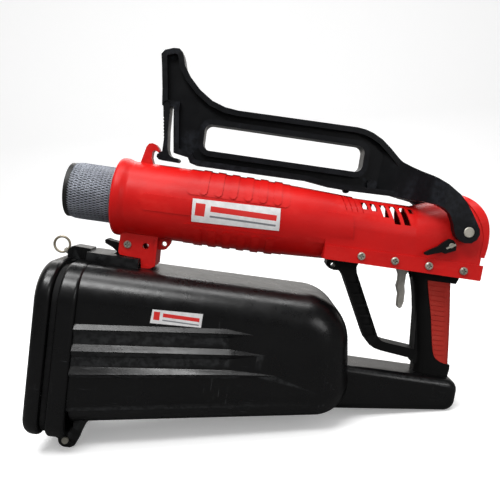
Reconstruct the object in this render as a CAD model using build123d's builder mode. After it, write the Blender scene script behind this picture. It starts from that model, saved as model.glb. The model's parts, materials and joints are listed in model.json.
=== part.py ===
from build123d import *
from math import atan2, cos, radians, sin
import os

os.makedirs("parts", exist_ok=True)

# ---------------------------------------------------------------------------
# Body frame. x runs rearward along the barrel axis from the barrel lip, y is
# the operator's right, z is up from the barrel axis. The fogger stands on the
# lid hinge lugs and on the rear edge of the case tail, which tilts the body.
# ---------------------------------------------------------------------------
MUZZLE_X = -52.5
LUG_FOOT_X = -15.0
LUG_FOOT_Z = -262.0
TAIL_FOOT_X = 367.7
TAIL_FOOT_Z = -174.63
TILT = atan2(TAIL_FOOT_Z - LUG_FOOT_Z, TAIL_FOOT_X - LUG_FOOT_X)
REARWARD = (cos(TILT), 0, -sin(TILT))
UPWARD = (sin(TILT), 0, cos(TILT))


def spot(x, y, z):
    """Part coordinates of a body-frame point; the origin is the outlet mouth."""
    along = x - MUZZLE_X
    return (along * cos(TILT) + z * sin(TILT), y, z * cos(TILT) - along * sin(TILT))


def side(y=0.0):
    """Side-view plane: local x rearward, local y up, extrusion towards the left."""
    return Plane(origin=spot(0, y, 0), x_dir=REARWARD, z_dir=(0, -1, 0))


def across(x):
    """Cross-section plane: local x to the right, local y up, extrusion rearward."""
    return Plane(origin=spot(x, 0, 0), x_dir=(0, 1, 0), z_dir=REARWARD)


def level(z):
    """Plan-view plane: local x rearward, local y to the right, extrusion upward."""
    return Plane(origin=spot(0, 0, z), x_dir=REARWARD, z_dir=UPWARD)


BARREL_AXIS = Axis(spot(0, 0, 0), REARWARD)

# Barrel tube
LIP_R = 40.3
BARREL_R_FRONT = 38.2
TAPER_START_X = 58.0
TAPER_END_X = 180.0
BARREL_R_MID = 38.3
BARREL_R_REAR = 36.3
BARREL_WALL = 2.8
BARREL_BORE_R = 36.0
HOUSING_START_X = 213.0
TUBE_END_X = 238.0

# Rear housing
HOUSING_HALF = 34.0
HOUSING_TOP_Z = 32.5
HOUSING_REAR_HALF = 41.0
HOUSING_REAR_TOP_Z = 60.0
HOUSING_WALL = 2.6
SKIRT_TOP_Z = -17.3
SKIRT_REAR_TOP_Z = -15.7
SKIRT_BOTTOM_Z = -31.0
SKIRT_FRONT_X = 213.6
SKIRT_REAR_X = 370.0
SKIRT_HALF = 35.7
SKIRT_REAR_HALF = 40.7
SKIRT_SCREW_Z = -23.3
SKIRT_SCREW_X = (250.5, 284.2, 318.0, 351.8)

# Fasteners
SCREW_HEAD_R = 3.9
SCREW_HEAD_H = 2.2
SCREW_SHANK_R = 1.9
SCREW_RECESS = 4.8
SCREW_RECESS_W = 1.4

# Front bracket, strap lug and hook
BRACKET_HALF = 14.0
BRACKET_INNER = 9.0
BRACKET_SCREW = (15.1, -47.2)
BRACKET_HOLE = (33.6, -46.5)
BRACKET_HOLE_R = 3.2
LUG_HOLE_R = 2.5
FRONT_LUG = (50.8, -43.0)
REAR_LUG = (228.8, -39.2)
LUG_HALF = 3.0
HOOK_HALF = 6.0

# Stock
STOCK_HALF = 11.0
STOCK_RIM = 5.5
STOCK_WEB_HALF = 5.0
ARM_IN = 42.2
ARM_OUT = 50.2
PIVOT_X = 346.0
PIVOT_Z = 15.3
PIVOT_R = 4.0
PIVOT_CLEARANCE = 0.05

# Gas lever
VALVE_X = 334.0
VALVE_Z = 0.0
SPINDLE_R = 2.5
SPINDLE_CLEARANCE = 0.06

# Trigger and pump
TRIGGER_PIN = (309.0, -26.0)
TRIGGER_PIN_R = 1.5
TRIGGER_HALF = 3.6
PUMP_Z = -8.0
PUMP_R = 8.5
PLUNGER_R = 4.0

# Clamp lever
CLAMP_PIN = (10.5, -51.0)
CLAMP_PIN_R = 1.5
RAIL_TOP_Z = -60.0

# Case
CASE_TOP_Z = -70.0
CASE_WALL = 2.4
FLANGE_FRONT_X = -34.5
FLANGE_REAR_X = -16.0
LID_FRONT_X = -58.5
LID_REAR_X = -41.0
LID_HALF = 66.0
LID_BOTTOM_Z = -246.0
LID_CORNER_TOP = 36.0
LID_CORNER_BOTTOM = 22.0
HINGE_X = -20.0
HINGE_Z = -254.0
HINGE_PIN_R = 2.5
TAIL_TOP_Z = -140.5
TAIL_HALF = 24.0
TAIL_END_R = 12.0
TAIL_EDGE_R = 8.0


def outline(points):
    """Closed straight-sided outline through the points."""
    with BuildSketch() as shape:
        with BuildLine():
            Polyline(*points, close=True)
        make_face()
    return shape.sketch


def slab(points, y_low, y_high):
    """Prism with the side-view outline between two lateral positions."""
    with BuildPart() as prism:
        with BuildSketch(side(y_high)):
            add(outline(points))
        extrude(amount=y_high - y_low)
    return prism.part


def arch(x, half, top, bottom, corner):
    """Inverted-U cross-section outline of the rear housing at one station."""
    with BuildSketch(across(x)) as section:
        with Locations((0, (top + bottom) / 2)):
            Rectangle(2 * half, top - bottom)
        fillet(section.vertices().group_by(Axis.Y)[-1], corner)
    return section.sketch.face()


def ring(x_low, x_high, outer, inner):
    """Tube around the barrel axis."""
    with BuildPart() as tube:
        with BuildSketch(across(x_low)):
            Circle(outer)
            Circle(inner, mode=Mode.SUBTRACT)
        extrude(amount=x_high - x_low)
    return tube.part


def cross_rod(x, z, y_low, y_high, radius):
    """Round bar lying across the body."""
    with BuildPart() as bar:
        with BuildSketch(side(y_high)):
            with Locations((x, z)):
                Circle(radius)
        extrude(amount=y_high - y_low)
    return bar.part


def sleeve(lift):
    """Layer over the tapered barrel, standing the given height above its surface."""
    with BuildPart() as layer:
        with BuildSketch(side()):
            with BuildLine():
                Polyline(
                    (TAPER_START_X, BARREL_R_MID - 1), (TAPER_START_X, BARREL_R_MID + lift),
                    (TAPER_END_X, BARREL_R_REAR + lift), (TAPER_END_X, BARREL_R_REAR - 1), close=True,
                )
            make_face()
        revolve(axis=BARREL_AXIS)
    return layer.part


def save(item, name):
    """Label one piece and write its file."""
    item.part.label = name
    export_step(item.part, "parts/" + name + ".step")


# ---------------------------------------------------------------------------
# Barrel with rear housing, moulded as two half shells
# ---------------------------------------------------------------------------
COVER_FRONT = [(333.0, 66.0), (346.0, 47.5), (354.0, 36.0), (361.0, 24.0), (365.4, 12.0), (365.0, -8.0)]
COVER_REAR = [(369.3, -8.0), (370.2, 14.0), (366.0, 30.5), (356.6, 44.6), (344.9, 52.4), (334.0, 56.0)]
COVER_PROUD = 0.8
COVER_TOP_PROUD = 2.2
BRACKET_OUTLINE = [
    (6.4, -34.8), (6.4, -56.0), (8.5, -59.0), (29.8, -59.8), (31.6, -69.6), (40.5, -69.0), (45.9, -65.6),
    (45.2, -34.8),
]
BRACKET_BACK = [(37.6, -34.8), (38.4, -69.2), (40.5, -69.0), (45.9, -65.6), (45.2, -34.8)]
BRACKET_RIM = [
    (31.6, -69.6), (40.5, -69.0), (45.9, -65.6), (45.0, -38.4), (42.4, -38.4), (42.9, -64.0), (40.0, -66.4),
    (31.4, -66.8),
]
PAD_FRONT_X = 70.5
PAD_REAR_X = 173.0
PAD_LIFT = 0.6
PAD_EDGE = 40.0
TOP_PAD_Z = 13.5
BOTTOM_PAD_Z = -15.3
PAD_RIBS = 6
PAD_PITCH = 14.7
TOP_RIB = (87.0, 18.7)
BOTTOM_RIB = (85.8, -22.8)
RIB_WIDTH = 8.0
RIB_LIFT = 1.6
RIB_LENGTH = 60.0
FLARE_X = 300.0
FLARE_END_X = 380.0
SIDE_REACH = 60.0
BEHIND_X = 420.0
# each vent slot: station, lower and upper heights, width
VENTS = (
    (247.5, 23.0, 29.0, 5.6), (256.5, 22.5, 29.0, 5.6), (266.5, 18.0, 29.0, 6.0),
    (276.5, 12.5, 29.0, 6.2), (286.5, 13.0, 29.0, 6.2), (295.0, 25.0, 29.0, 4.4),
)
VENT_LEAN = 0.36
ENGRAVED_LINES = 4
ENGRAVED_START_X = 224.0
ENGRAVED_PITCH = 5.6

with BuildPart() as housing_solid:
    straight = arch(HOUSING_START_X, HOUSING_HALF, HOUSING_TOP_Z, SKIRT_BOTTOM_Z, 31)
    knee = arch(FLARE_X, HOUSING_HALF, HOUSING_TOP_Z, SKIRT_BOTTOM_Z, 31)
    rear = arch(FLARE_END_X, HOUSING_REAR_HALF, HOUSING_REAR_TOP_Z, SKIRT_BOTTOM_Z, 33)
    loft(sections=[straight, knee])
    loft(sections=[knee, rear])

with BuildPart() as housing_hollow:
    inner_half = HOUSING_HALF - HOUSING_WALL
    inner_top = HOUSING_TOP_Z - HOUSING_WALL
    inner_rear_half = HOUSING_REAR_HALF - HOUSING_WALL
    inner_rear_top = HOUSING_REAR_TOP_Z - HOUSING_WALL
    straight = arch(TUBE_END_X + 1, inner_half, inner_top, SKIRT_BOTTOM_Z - 1, 28.4)
    knee = arch(FLARE_X, inner_half, inner_top, SKIRT_BOTTOM_Z - 1, 28.4)
    rear = arch(FLARE_END_X, inner_rear_half, inner_rear_top, SKIRT_BOTTOM_Z - 1, 30.4)
    loft(sections=[straight, knee])
    loft(sections=[knee, rear])

with BuildPart() as grip_pads:
    for edge, top in ((TOP_PAD_Z, 1), (BOTTOM_PAD_Z, -1)):
        with BuildSketch(side(PAD_EDGE)):
            with Locations(((PAD_FRONT_X + PAD_REAR_X) / 2, edge + top * PAD_EDGE / 2)):
                RectangleRounded(PAD_REAR_X - PAD_FRONT_X, PAD_EDGE, 5)
        extrude(amount=2 * PAD_EDGE)
    # low flank panel between the lip and the sticker
    add(slab([(TAPER_START_X, 8.4), (77.0, 8.5), (77.0, -7.2), (TAPER_START_X, -7.6)], -PAD_EDGE, PAD_EDGE))
    add(sleeve(PAD_LIFT), mode=Mode.INTERSECT)

with BuildPart() as pad_ribs:
    for (start, end_z), top in ((TOP_RIB, 1), (BOTTOM_RIB, -1)):
        with BuildSketch(side(PAD_EDGE)):
            for index in range(PAD_RIBS):
                with Locations((start + index * PAD_PITCH, end_z + top * RIB_LENGTH / 2)):
                    SlotCenterToCenter(RIB_LENGTH, RIB_WIDTH, rotation=90)
        extrude(amount=2 * PAD_EDGE)
    add(sleeve(RIB_LIFT), mode=Mode.INTERSECT)

with BuildPart() as rear_flanks:
    add(slab([(178, -17.1), (181, 16.1), (237.0, 15.4), (240.9, -16.1)], -60, 60))
    add(ring(170, 245, 35.6, 32.0), mode=Mode.INTERSECT)

with BuildPart() as front_flanks:
    add(slab([(26, 0.5), (30, 8.3), (60, 8.4), (60, -7.6), (31, -7.9)], -60, 60))
    add(ring(20, 60, BARREL_R_MID + PAD_LIFT, 34.0), mode=Mode.INTERSECT)

with BuildPart() as screw_strip:
    with BuildSketch(level(SKIRT_BOTTOM_Z)):
        with BuildLine():
            Polyline(
                (SKIRT_FRONT_X, -SKIRT_HALF), (FLARE_X, -SKIRT_HALF), (SKIRT_REAR_X, -SKIRT_REAR_HALF),
                (SKIRT_REAR_X, SKIRT_REAR_HALF), (FLARE_X, SKIRT_HALF), (SKIRT_FRONT_X, SKIRT_HALF),
                close=True,
            )
        make_face()
    extrude(amount=20)
    strip = [
        (SKIRT_FRONT_X, SKIRT_TOP_Z), (SKIRT_REAR_X, SKIRT_REAR_TOP_Z), (SKIRT_REAR_X, SKIRT_BOTTOM_Z + 1.6),
        (SKIRT_REAR_X - 2, SKIRT_BOTTOM_Z), (SKIRT_FRONT_X + 2, SKIRT_BOTTOM_Z),
        (SKIRT_FRONT_X, SKIRT_BOTTOM_Z + 2),
    ]
    add(slab(strip, -60, 60), mode=Mode.INTERSECT)

with BuildPart() as engraved_lines:
    for index in range(ENGRAVED_LINES):
        start = ENGRAVED_START_X + ENGRAVED_PITCH * index
        add(slab([(start, 36), (start + 1.1, 36), (start + 7.1, 19), (start + 6.0, 19)], -60, 60))
    add(ring(200, 270, 33.1, 0.5), mode=Mode.SUBTRACT)

with BuildPart() as shell:
    # tube with its rounded lip
    with BuildSketch(side()):
        with BuildLine():
            Polyline((-3, 0), (-3, 37.2))
            Spline((-3, 37.2), (-1.6, 39.4), (2.5, LIP_R), (6.0, 39.9), (9.5, 38.6), (14, BARREL_R_FRONT))
            Polyline(
                (14, BARREL_R_FRONT), (TAPER_START_X, BARREL_R_MID), (TAPER_END_X, BARREL_R_REAR),
                (TUBE_END_X, HOUSING_HALF - 0.4), (TUBE_END_X, 0), (-3, 0),
            )
        make_face()
    revolve(axis=BARREL_AXIS)
    # raised grip pads above and below with rounded ribs, and raised flanks
    add(grip_pads.part)
    add(pad_ribs.part)
    add(front_flanks.part)
    add(rear_flanks.part)
    add(housing_solid.part)
    # strip along the lower edge that takes the screws
    add(screw_strip.part)
    # bores: barrel bore and housing hollow
    with BuildSketch(side()):
        with BuildLine():
            Polyline(
                (-4, 0), (-4, 37.4), (0, BARREL_BORE_R), (120, BARREL_BORE_R - 0.6),
                (TAPER_END_X, BARREL_R_REAR - BARREL_WALL),
                (TUBE_END_X + 1, HOUSING_HALF - 0.4 - BARREL_WALL), (TUBE_END_X + 1, 0), (-4, 0),
            )
        make_face()
    revolve(axis=BARREL_AXIS, mode=Mode.SUBTRACT)
    add(housing_hollow.part, mode=Mode.SUBTRACT)
    below = SKIRT_BOTTOM_Z - 0.05
    open_floor = [(TUBE_END_X, below), (BEHIND_X, below), (BEHIND_X, -60), (TUBE_END_X, -60)]
    add(slab(open_floor, -SIDE_REACH, SIDE_REACH), mode=Mode.SUBTRACT)

    # bracket cheeks below the barrel, closed at the rear, with a raised rim
    for low, high in ((-BRACKET_HALF, -BRACKET_INNER), (BRACKET_INNER, BRACKET_HALF)):
        add(slab(BRACKET_OUTLINE, low, high))
        add(slab(BRACKET_RIM, low * 1.1, high * 1.1))
    add(slab(BRACKET_BACK, -BRACKET_HALF, BRACKET_HALF))
    front_lug = [(45, -35), (45, -49.5), (50, -49.5), (53.3, -48.2), (57.3, -42.0), (58.0, -35)]
    add(slab(front_lug, -LUG_HALF, LUG_HALF))
    # catch hook on top of the barrel
    add(
        slab(
            [
                (16.5, 36), (21.0, 54.6), (23.2, 57.8), (26.6, 58.8), (30.2, 57.9), (33.2, 55.0),
                (35.2, 51.4), (33.8, 50.1), (31.0, 51.9), (28.6, 51.6), (27.6, 49.6), (27.5, 43.8),
                (30.5, 36),
            ],
            -HOOK_HALF,
            HOOK_HALF,
        )
    )
    # pivot bosses on the housing sides
    for hand in (-1, 1):
        low, high = sorted((hand * 34.0, hand * 42.0))
        add(cross_rod(PIVOT_X, PIVOT_Z, low, high, 9.5))
    # clear everything that has grown into the bores
    with BuildSketch(across(-5)):
        Circle(33.2)
    extrude(amount=200, mode=Mode.SUBTRACT)

    # holes
    add(cross_rod(*BRACKET_SCREW, -20, 20, SCREW_SHANK_R + 0.1), mode=Mode.SUBTRACT)
    add(cross_rod(*BRACKET_HOLE, -20, 20, BRACKET_HOLE_R), mode=Mode.SUBTRACT)
    add(cross_rod(*CLAMP_PIN, -12, 12, CLAMP_PIN_R + 0.02), mode=Mode.SUBTRACT)
    add(cross_rod(*FRONT_LUG, -10, 10, LUG_HOLE_R), mode=Mode.SUBTRACT)
    add(cross_rod(PIVOT_X, PIVOT_Z, -60, 60, PIVOT_R + 0.05), mode=Mode.SUBTRACT)
    add(cross_rod(VALVE_X, VALVE_Z, -60, 0, SPINDLE_R + 0.4), mode=Mode.SUBTRACT)
    for x in SKIRT_SCREW_X:
        add(cross_rod(x, SKIRT_SCREW_Z, -SIDE_REACH, SIDE_REACH, SCREW_SHANK_R + 0.1), mode=Mode.SUBTRACT)
    # slanted vent slots through the top of the housing and the moulded lines ahead of them
    for x, low, high, width in VENTS:
        lean = VENT_LEAN * (high - low)
        front, back = x - width / 2, x + width / 2
        vent = [(front, high), (back, high), (back + lean, low), (front + lean, low)]
        add(slab(vent, -SIDE_REACH, SIDE_REACH), mode=Mode.SUBTRACT)
    add(engraved_lines.part, mode=Mode.SUBTRACT)
    # opening between the bracket cheeks for the hoses
    add(slab([(20.5, -30), (20.5, -44), (28.5, -44), (28.5, -30)], -8.5, 8.5), mode=Mode.SUBTRACT)
    # raked rear edge
    raked_end = [
        (366.6, -8.0), (BEHIND_X, -8.0), (BEHIND_X, -40.0), (SKIRT_REAR_X, -40.0),
        (SKIRT_REAR_X, SKIRT_REAR_TOP_Z), (366.6, SKIRT_REAR_TOP_Z),
    ]
    add(slab(raked_end, -SIDE_REACH, SIDE_REACH), mode=Mode.SUBTRACT)

with BuildPart() as cover_block:
    add(slab(COVER_FRONT + [(BEHIND_X, -8.0), (BEHIND_X, 66.0)], -SIDE_REACH, SIDE_REACH))

with BuildPart() as barrel_shell:
    add(shell.part)
    add(cover_block.part, mode=Mode.SUBTRACT)

with BuildPart() as barrel_shell_left:
    add(barrel_shell.part)
    split(bisect_by=Plane.XZ, keep=Keep.TOP)
save(barrel_shell_left, "barrel_shell_left")

with BuildPart() as barrel_shell_right:
    add(barrel_shell.part)
    split(bisect_by=Plane.XZ, keep=Keep.BOTTOM)
save(barrel_shell_right, "barrel_shell_right")

# ---------------------------------------------------------------------------
# Rear cover: raked cap closing the back of the housing
# ---------------------------------------------------------------------------
with BuildPart() as rear_cover:
    knee = arch(FLARE_X, HOUSING_HALF + COVER_PROUD, HOUSING_TOP_Z + COVER_TOP_PROUD, SKIRT_BOTTOM_Z, 31)
    rear = arch(
        FLARE_END_X, HOUSING_REAR_HALF + COVER_PROUD, HOUSING_REAR_TOP_Z + COVER_TOP_PROUD, SKIRT_BOTTOM_Z, 33
    )
    loft(sections=[knee, rear])
    with BuildSketch(side(60)):
        with BuildLine():
            Polyline(*COVER_FRONT, COVER_REAR[0])
            Spline(*COVER_REAR)
            Polyline(COVER_REAR[-1], (333.0, 58.0), COVER_FRONT[0])
        make_face()
    extrude(amount=120, mode=Mode.INTERSECT)
save(rear_cover, "rear_cover")

# ---------------------------------------------------------------------------
# Muzzle: guard, outlet tube, flanges, shield, burner and coil
# ---------------------------------------------------------------------------
GUARD_FRONT_X = -48.5
GUARD_OUTER_R = 29.4
GUARD_INNER_R = 28.2
OUTLET_OUTER_R = 27.8
OUTLET_INNER_R = 25.4
OUTLET_MOUTH_LENGTH = 20.0
OUTLET_THROAT_R = 24.6
FLANGE_X = 12.0
FLANGE_T = 3.0
REAR_FLANGE_X = 162.0
BURN_OUTER_R = 24.0
BURN_INNER_R = 22.6
COIL_R = 17.0
COIL_WIRE_R = 2.5
COIL_PITCH = 11.0
COIL_START_X = 42.0
COIL_START = spot(COIL_START_X, 0, 0)
COIL_LENGTH = 99.0

GUARD_CUT_LONG = 6.4
GUARD_CUT_WIDE = 4.6
GUARD_CUT_PITCH = 8.2
GUARD_CUT_ROWS = 24

with BuildPart() as nozzle_guard:
    add(ring(GUARD_FRONT_X, FLANGE_X, GUARD_OUTER_R, GUARD_INNER_R))
    # staggered diamond openings, cut through both walls at once
    for row in range(GUARD_CUT_ROWS // 2):
        turn = radians(row * 360 / GUARD_CUT_ROWS)
        outward = (sin(turn) * UPWARD[0], cos(turn), sin(turn) * UPWARD[2])
        start = -44.0 + (row % 2) * GUARD_CUT_PITCH / 2
        with BuildSketch(Plane(origin=spot(0, 0, 0), x_dir=REARWARD, z_dir=outward)):
            for column in range(6):
                with Locations((start + column * GUARD_CUT_PITCH, 0)):
                    Polygon(
                        (-GUARD_CUT_LONG / 2, 0), (0, -GUARD_CUT_WIDE / 2), (GUARD_CUT_LONG / 2, 0),
                        (0, GUARD_CUT_WIDE / 2),
                    )
        extrude(amount=GUARD_OUTER_R + 1, both=True, mode=Mode.SUBTRACT)
save(nozzle_guard, "nozzle_guard")

with BuildPart() as outlet_tube:
    add(ring(MUZZLE_X, MUZZLE_X + OUTLET_MOUTH_LENGTH, OUTLET_OUTER_R, OUTLET_INNER_R))
    add(ring(MUZZLE_X + OUTLET_MOUTH_LENGTH, FLANGE_X, OUTLET_OUTER_R, OUTLET_THROAT_R))
save(outlet_tube, "outlet_tube")

with BuildPart() as front_flange:
    add(ring(FLANGE_X + 0.02, FLANGE_X + FLANGE_T, BARREL_BORE_R - 0.12, BURN_OUTER_R + 0.02))
save(front_flange, "front_flange")

with BuildPart() as rear_flange:
    add(ring(REAR_FLANGE_X, REAR_FLANGE_X + FLANGE_T, 33.1, BURN_OUTER_R + 0.02))
save(rear_flange, "rear_flange")

with BuildPart() as heat_shield:
    add(ring(FLANGE_X + FLANGE_T + 0.02, REAR_FLANGE_X - 0.02, 31.8, 31.0))
save(heat_shield, "heat_shield")

with BuildPart() as combustion_tube:
    add(ring(FLANGE_X + 0.05, REAR_FLANGE_X + 10, BURN_OUTER_R, BURN_INNER_R))
save(combustion_tube, "combustion_tube")

with BuildPart() as vapour_coil:
    with BuildLine() as coil_path:
        Helix(pitch=COIL_PITCH, height=COIL_LENGTH, radius=COIL_R, center=COIL_START, direction=REARWARD)
    with BuildSketch(Plane(origin=coil_path.line @ 0, z_dir=coil_path.line % 0)):
        Circle(COIL_WIRE_R)
    sweep(path=coil_path.line, is_frenet=True)
    # straight outlet pipe on the axis, joined to the first turn
    with BuildSketch(across(-12)):
        Circle(3.2)
    extrude(amount=COIL_START_X + 14)
    first_turn = coil_path.line @ 0
    with BuildSketch(Plane(origin=COIL_START, z_dir=first_turn - Vector(*COIL_START))):
        Circle(2.4)
    extrude(amount=COIL_R)
save(vapour_coil, "vapour_coil")

with BuildPart() as fog_tip:
    with BuildSketch(side()):
        with BuildLine():
            Polyline((-28, 1.0), (-28, 2.4), (-20, 5.5), (-12.02, 5.5), (-12.02, 1.0), (-28, 1.0))
        make_face()
    revolve(axis=BARREL_AXIS)
save(fog_tip, "fog_tip")

with BuildPart() as burner_head:
    with BuildSketch(side()):
        with BuildLine():
            Polyline(
                (150, 0), (150, 11), (156, 13), (172.1, 13), (172.1, BURN_OUTER_R - 0.1),
                (174.5, BURN_OUTER_R - 0.1), (174.5, 9), (196, 9), (196, 0), (150, 0),
            )
        make_face()
    revolve(axis=BARREL_AXIS)
    with BuildSketch(across(149)):
        with PolarLocations(7.0, 8):
            Circle(1.2)
    extrude(amount=8, mode=Mode.SUBTRACT)
    with BuildSketch(across(170)):
        with Locations((0, 19.0)):
            Circle(2.6)
    extrude(amount=8, mode=Mode.SUBTRACT)
save(burner_head, "burner_head")

# ---------------------------------------------------------------------------
# Ignition, gas valve and pump, inside the barrel and the housing
# ---------------------------------------------------------------------------
ELECTRODE_OFFSET = 19.0
ELECTRODE_R = 2.6

with BuildPart() as igniter_electrode:
    with BuildSketch(across(146.0)):
        with Locations((0, ELECTRODE_OFFSET)):
            Circle(1.2)
    extrude(amount=54.0)
    with BuildSketch(across(168.0)):
        with Locations((0, ELECTRODE_OFFSET)):
            Circle(ELECTRODE_R)
    extrude(amount=22.0)
save(igniter_electrode, "igniter_electrode")

PIEZO_Y = 15.0
PIEZO_Z = -7.0
PIEZO_R = 7.0
PUMP_FRONT_X = 238.0
PUMP_REAR_X = 286.0
PLUNGER_END_X = 304.6
PLUNGER_COLLAR_X = 299.8
VALVE_HALF = 11.0
SPINDLE_FLAT = [(328.8, -2.9), (329.9, -4.0), (338.4, 0.6), (337.3, 2.6)]

with BuildPart() as piezo_igniter:
    with BuildSketch(across(296.0)):
        with Locations((PIEZO_Y, PIEZO_Z)):
            Circle(PIEZO_R)
    extrude(amount=46.0)
    with BuildSketch(across(290.0)):
        with Locations((PIEZO_Y, PIEZO_Z)):
            Circle(3.0)
    extrude(amount=6.0)
save(piezo_igniter, "piezo_igniter")

with BuildPart() as gas_valve_body:
    add(
        slab(
            [
                (VALVE_X - VALVE_HALF, VALVE_Z - VALVE_HALF), (VALVE_X + VALVE_HALF, VALVE_Z - VALVE_HALF),
                (VALVE_X + VALVE_HALF, VALVE_Z + VALVE_HALF), (VALVE_X - VALVE_HALF, VALVE_Z + VALVE_HALF),
            ],
            -29.5,
            -9.0,
        )
    )
    fillet(gas_valve_body.edges().filter_by(Axis.Y), 2.0)
    add(cross_rod(VALVE_X, VALVE_Z, -30.0, -14.0, SPINDLE_R + SPINDLE_CLEARANCE), mode=Mode.SUBTRACT)
    # outlet nipple towards the burner
    with BuildSketch(across(VALVE_X - VALVE_HALF - 8)):
        with Locations((-19.0, VALVE_Z)):
            Circle(3.2)
    extrude(amount=8.5)
save(gas_valve_body, "gas_valve_body")

with BuildPart() as valve_spindle:
    add(cross_rod(VALVE_X, VALVE_Z, -44.0, -14.2, SPINDLE_R))
    # flattened outer end seen in the slot of the lever
    add(slab(SPINDLE_FLAT, -44.6, -43.2))
save(valve_spindle, "valve_spindle")

LEVER_IN = 40.4
LEVER_OUT = 44.0
with BuildPart() as gas_lever:
    add(
        slab(
            [
                (309.2, -10.4), (315.5, -6.0), (321.2, -2.8), (326.7, 2.9), (331.0, 6.2), (335.2, 5.4),
                (338.7, 1.2), (339.2, -4.2), (329.3, -8.8), (325.6, -7.8), (312.1, -12.7), (309.6, -12.2),
            ],
            -LEVER_OUT,
            -LEVER_IN,
        )
    )
    add(cross_rod(VALVE_X, VALVE_Z, -42.0, -39.6, 4.6))
    add(cross_rod(VALVE_X, VALVE_Z, -46.0, -30.0, SPINDLE_R), mode=Mode.SUBTRACT)
    add(slab(SPINDLE_FLAT, -46.0, -43.2), mode=Mode.SUBTRACT)
save(gas_lever, "gas_lever")

with BuildPart() as pump_body:
    with BuildSketch(across(PUMP_FRONT_X)):
        with Locations((0, PUMP_Z)):
            Circle(PUMP_R)
    extrude(amount=PUMP_REAR_X - PUMP_FRONT_X)
    with BuildSketch(across(PUMP_FRONT_X - 9)):
        with Locations((0, PUMP_Z)):
            Circle(3.0)
    extrude(amount=10)
    with BuildSketch(across(PUMP_REAR_X - 22)):
        with Locations((0, PUMP_Z)):
            Circle(PLUNGER_R + 0.06)
    extrude(amount=23, mode=Mode.SUBTRACT)
save(pump_body, "pump_body")

with BuildPart() as pump_plunger:
    with BuildSketch(across(PUMP_REAR_X - 14)):
        with Locations((0, PUMP_Z)):
            Circle(PLUNGER_R)
    extrude(amount=PLUNGER_END_X - PUMP_REAR_X + 14)
    with BuildSketch(across(PLUNGER_COLLAR_X)):
        with Locations((0, PUMP_Z)):
            Circle(7.6)
    extrude(amount=2.0)
save(pump_plunger, "pump_plunger")

SPRING_R = 6.2
SPRING_WIRE_R = 0.6
SPRING_PITCH = 2.9
SPRING_LENGTH = PLUNGER_COLLAR_X - PUMP_REAR_X - 2 * SPRING_WIRE_R - 0.2
SPRING_START = spot(PUMP_REAR_X + SPRING_WIRE_R + 0.1, 0, PUMP_Z)
with BuildPart() as plunger_spring:
    with BuildLine() as spring_path:
        Helix(
            pitch=SPRING_PITCH, height=SPRING_LENGTH, radius=SPRING_R,
            center=SPRING_START, direction=REARWARD,
        )
    with BuildSketch(Plane(origin=spring_path.line @ 0, z_dir=spring_path.line % 0)):
        Circle(SPRING_WIRE_R)
    sweep(path=spring_path.line, is_frenet=True)
save(plunger_spring, "plunger_spring")

# ---------------------------------------------------------------------------
# Pistol grip with guard, as two halves, and its rubber insert
# ---------------------------------------------------------------------------
FRAME_HALF = 30.8
FRAME_WALL = 4.0
FRAME_FRONT_X = 240.0
FRAME_REAR_X = 362.0
FRAME_TOP_Z = -17.0
FRAME_FLOOR_Z = -27.5
FRAME_BOTTOM_Z = -31.0
HANDLE_HALF = 14.0
GUARD_HALF = 9.0
INSERT_HALF = 15.0
TONGUE_HALF = 9.0
FOOT_Z = -140.3

HANDLE_EDGE_R = 10.0
INSERT_EDGE_R = 10.5
INSERT_FRONT = [
    (327.7, -40.5), (328.9, -46.0), (335.7, -70.0), (341.2, -93.0), (345.8, -112.4), (349.6, -120.6),
    (358.0, -125.2), (367.6, -127.0),
]
INSERT_REAR = [(367.6, -127.0), (364.6, -104.0), (360.3, -74.0), (355.8, -47.0), (354.8, -40.5)]
INSERT_RIB_PITCH = 5.2
INSERT_RIBS = 15
HANDLE_FRONT = [(308.5, -30.0), (316.8, -49.0), (323.7, -80.0), (329.2, -108.0), (332.2, FOOT_Z)]

with BuildPart() as insert_recess:
    with BuildSketch(side(HANDLE_HALF + 3)):
        with BuildLine():
            Spline(*INSERT_FRONT)
            Polyline(INSERT_FRONT[-1], (375.0, -128.0), (372.0, -40.5), INSERT_FRONT[0])
        make_face()
    extrude(amount=2 * HANDLE_HALF + 6)

with BuildPart() as insert_outer:
    with BuildSketch(side(INSERT_HALF)):
        with BuildLine():
            Spline(*INSERT_FRONT)
            Spline(*INSERT_REAR)
            Line(INSERT_REAR[-1], INSERT_FRONT[0])
        make_face()
    extrude(amount=2 * INSERT_HALF)
    flanks = insert_outer.faces().sort_by(Axis.Y)
    rear_edges = [flanks[0].edges().sort_by(BARREL_AXIS)[-1], flanks[-1].edges().sort_by(BARREL_AXIS)[-1]]
    fillet(rear_edges, INSERT_EDGE_R)

with BuildPart() as grip_tongue:
    add(
        slab(
            [
                (320.0, -36.0), (350.5, -36.0), (352.5, -48.0), (356.8, -74.0), (361.4, -104.0),
                (363.5, -120.0), (363.5, -132.0), (330.0, -132.0),
            ],
            -TONGUE_HALF,
            TONGUE_HALF,
        )
    )

with BuildPart() as insert_cuts:
    for index in range(INSERT_RIBS):
        drop = -45.0 - INSERT_RIB_PITCH * index
        rear = 355.4 + 0.152 * (-45.0 - drop)
        add(cross_rod(rear + 3.6, drop, -20, 20, 4.2))
        front = 329.4 + 0.25 * (-45.0 - drop)
        groove = [(front, drop - 0.5), (rear, drop - 0.5), (rear, drop + 0.5), (front, drop + 0.5)]
        for low, high in ((-INSERT_HALF - 1, -INSERT_HALF + 0.5), (INSERT_HALF - 0.5, INSERT_HALF + 1)):
            add(slab(groove, low, high))

with BuildPart() as grip_insert:
    add(insert_outer.part)
    add(grip_tongue.part, mode=Mode.SUBTRACT)
    # scalloped rear edge and fine grooves on both flanks
    add(insert_cuts.part, mode=Mode.SUBTRACT)
save(grip_insert, "grip_insert")

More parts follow.
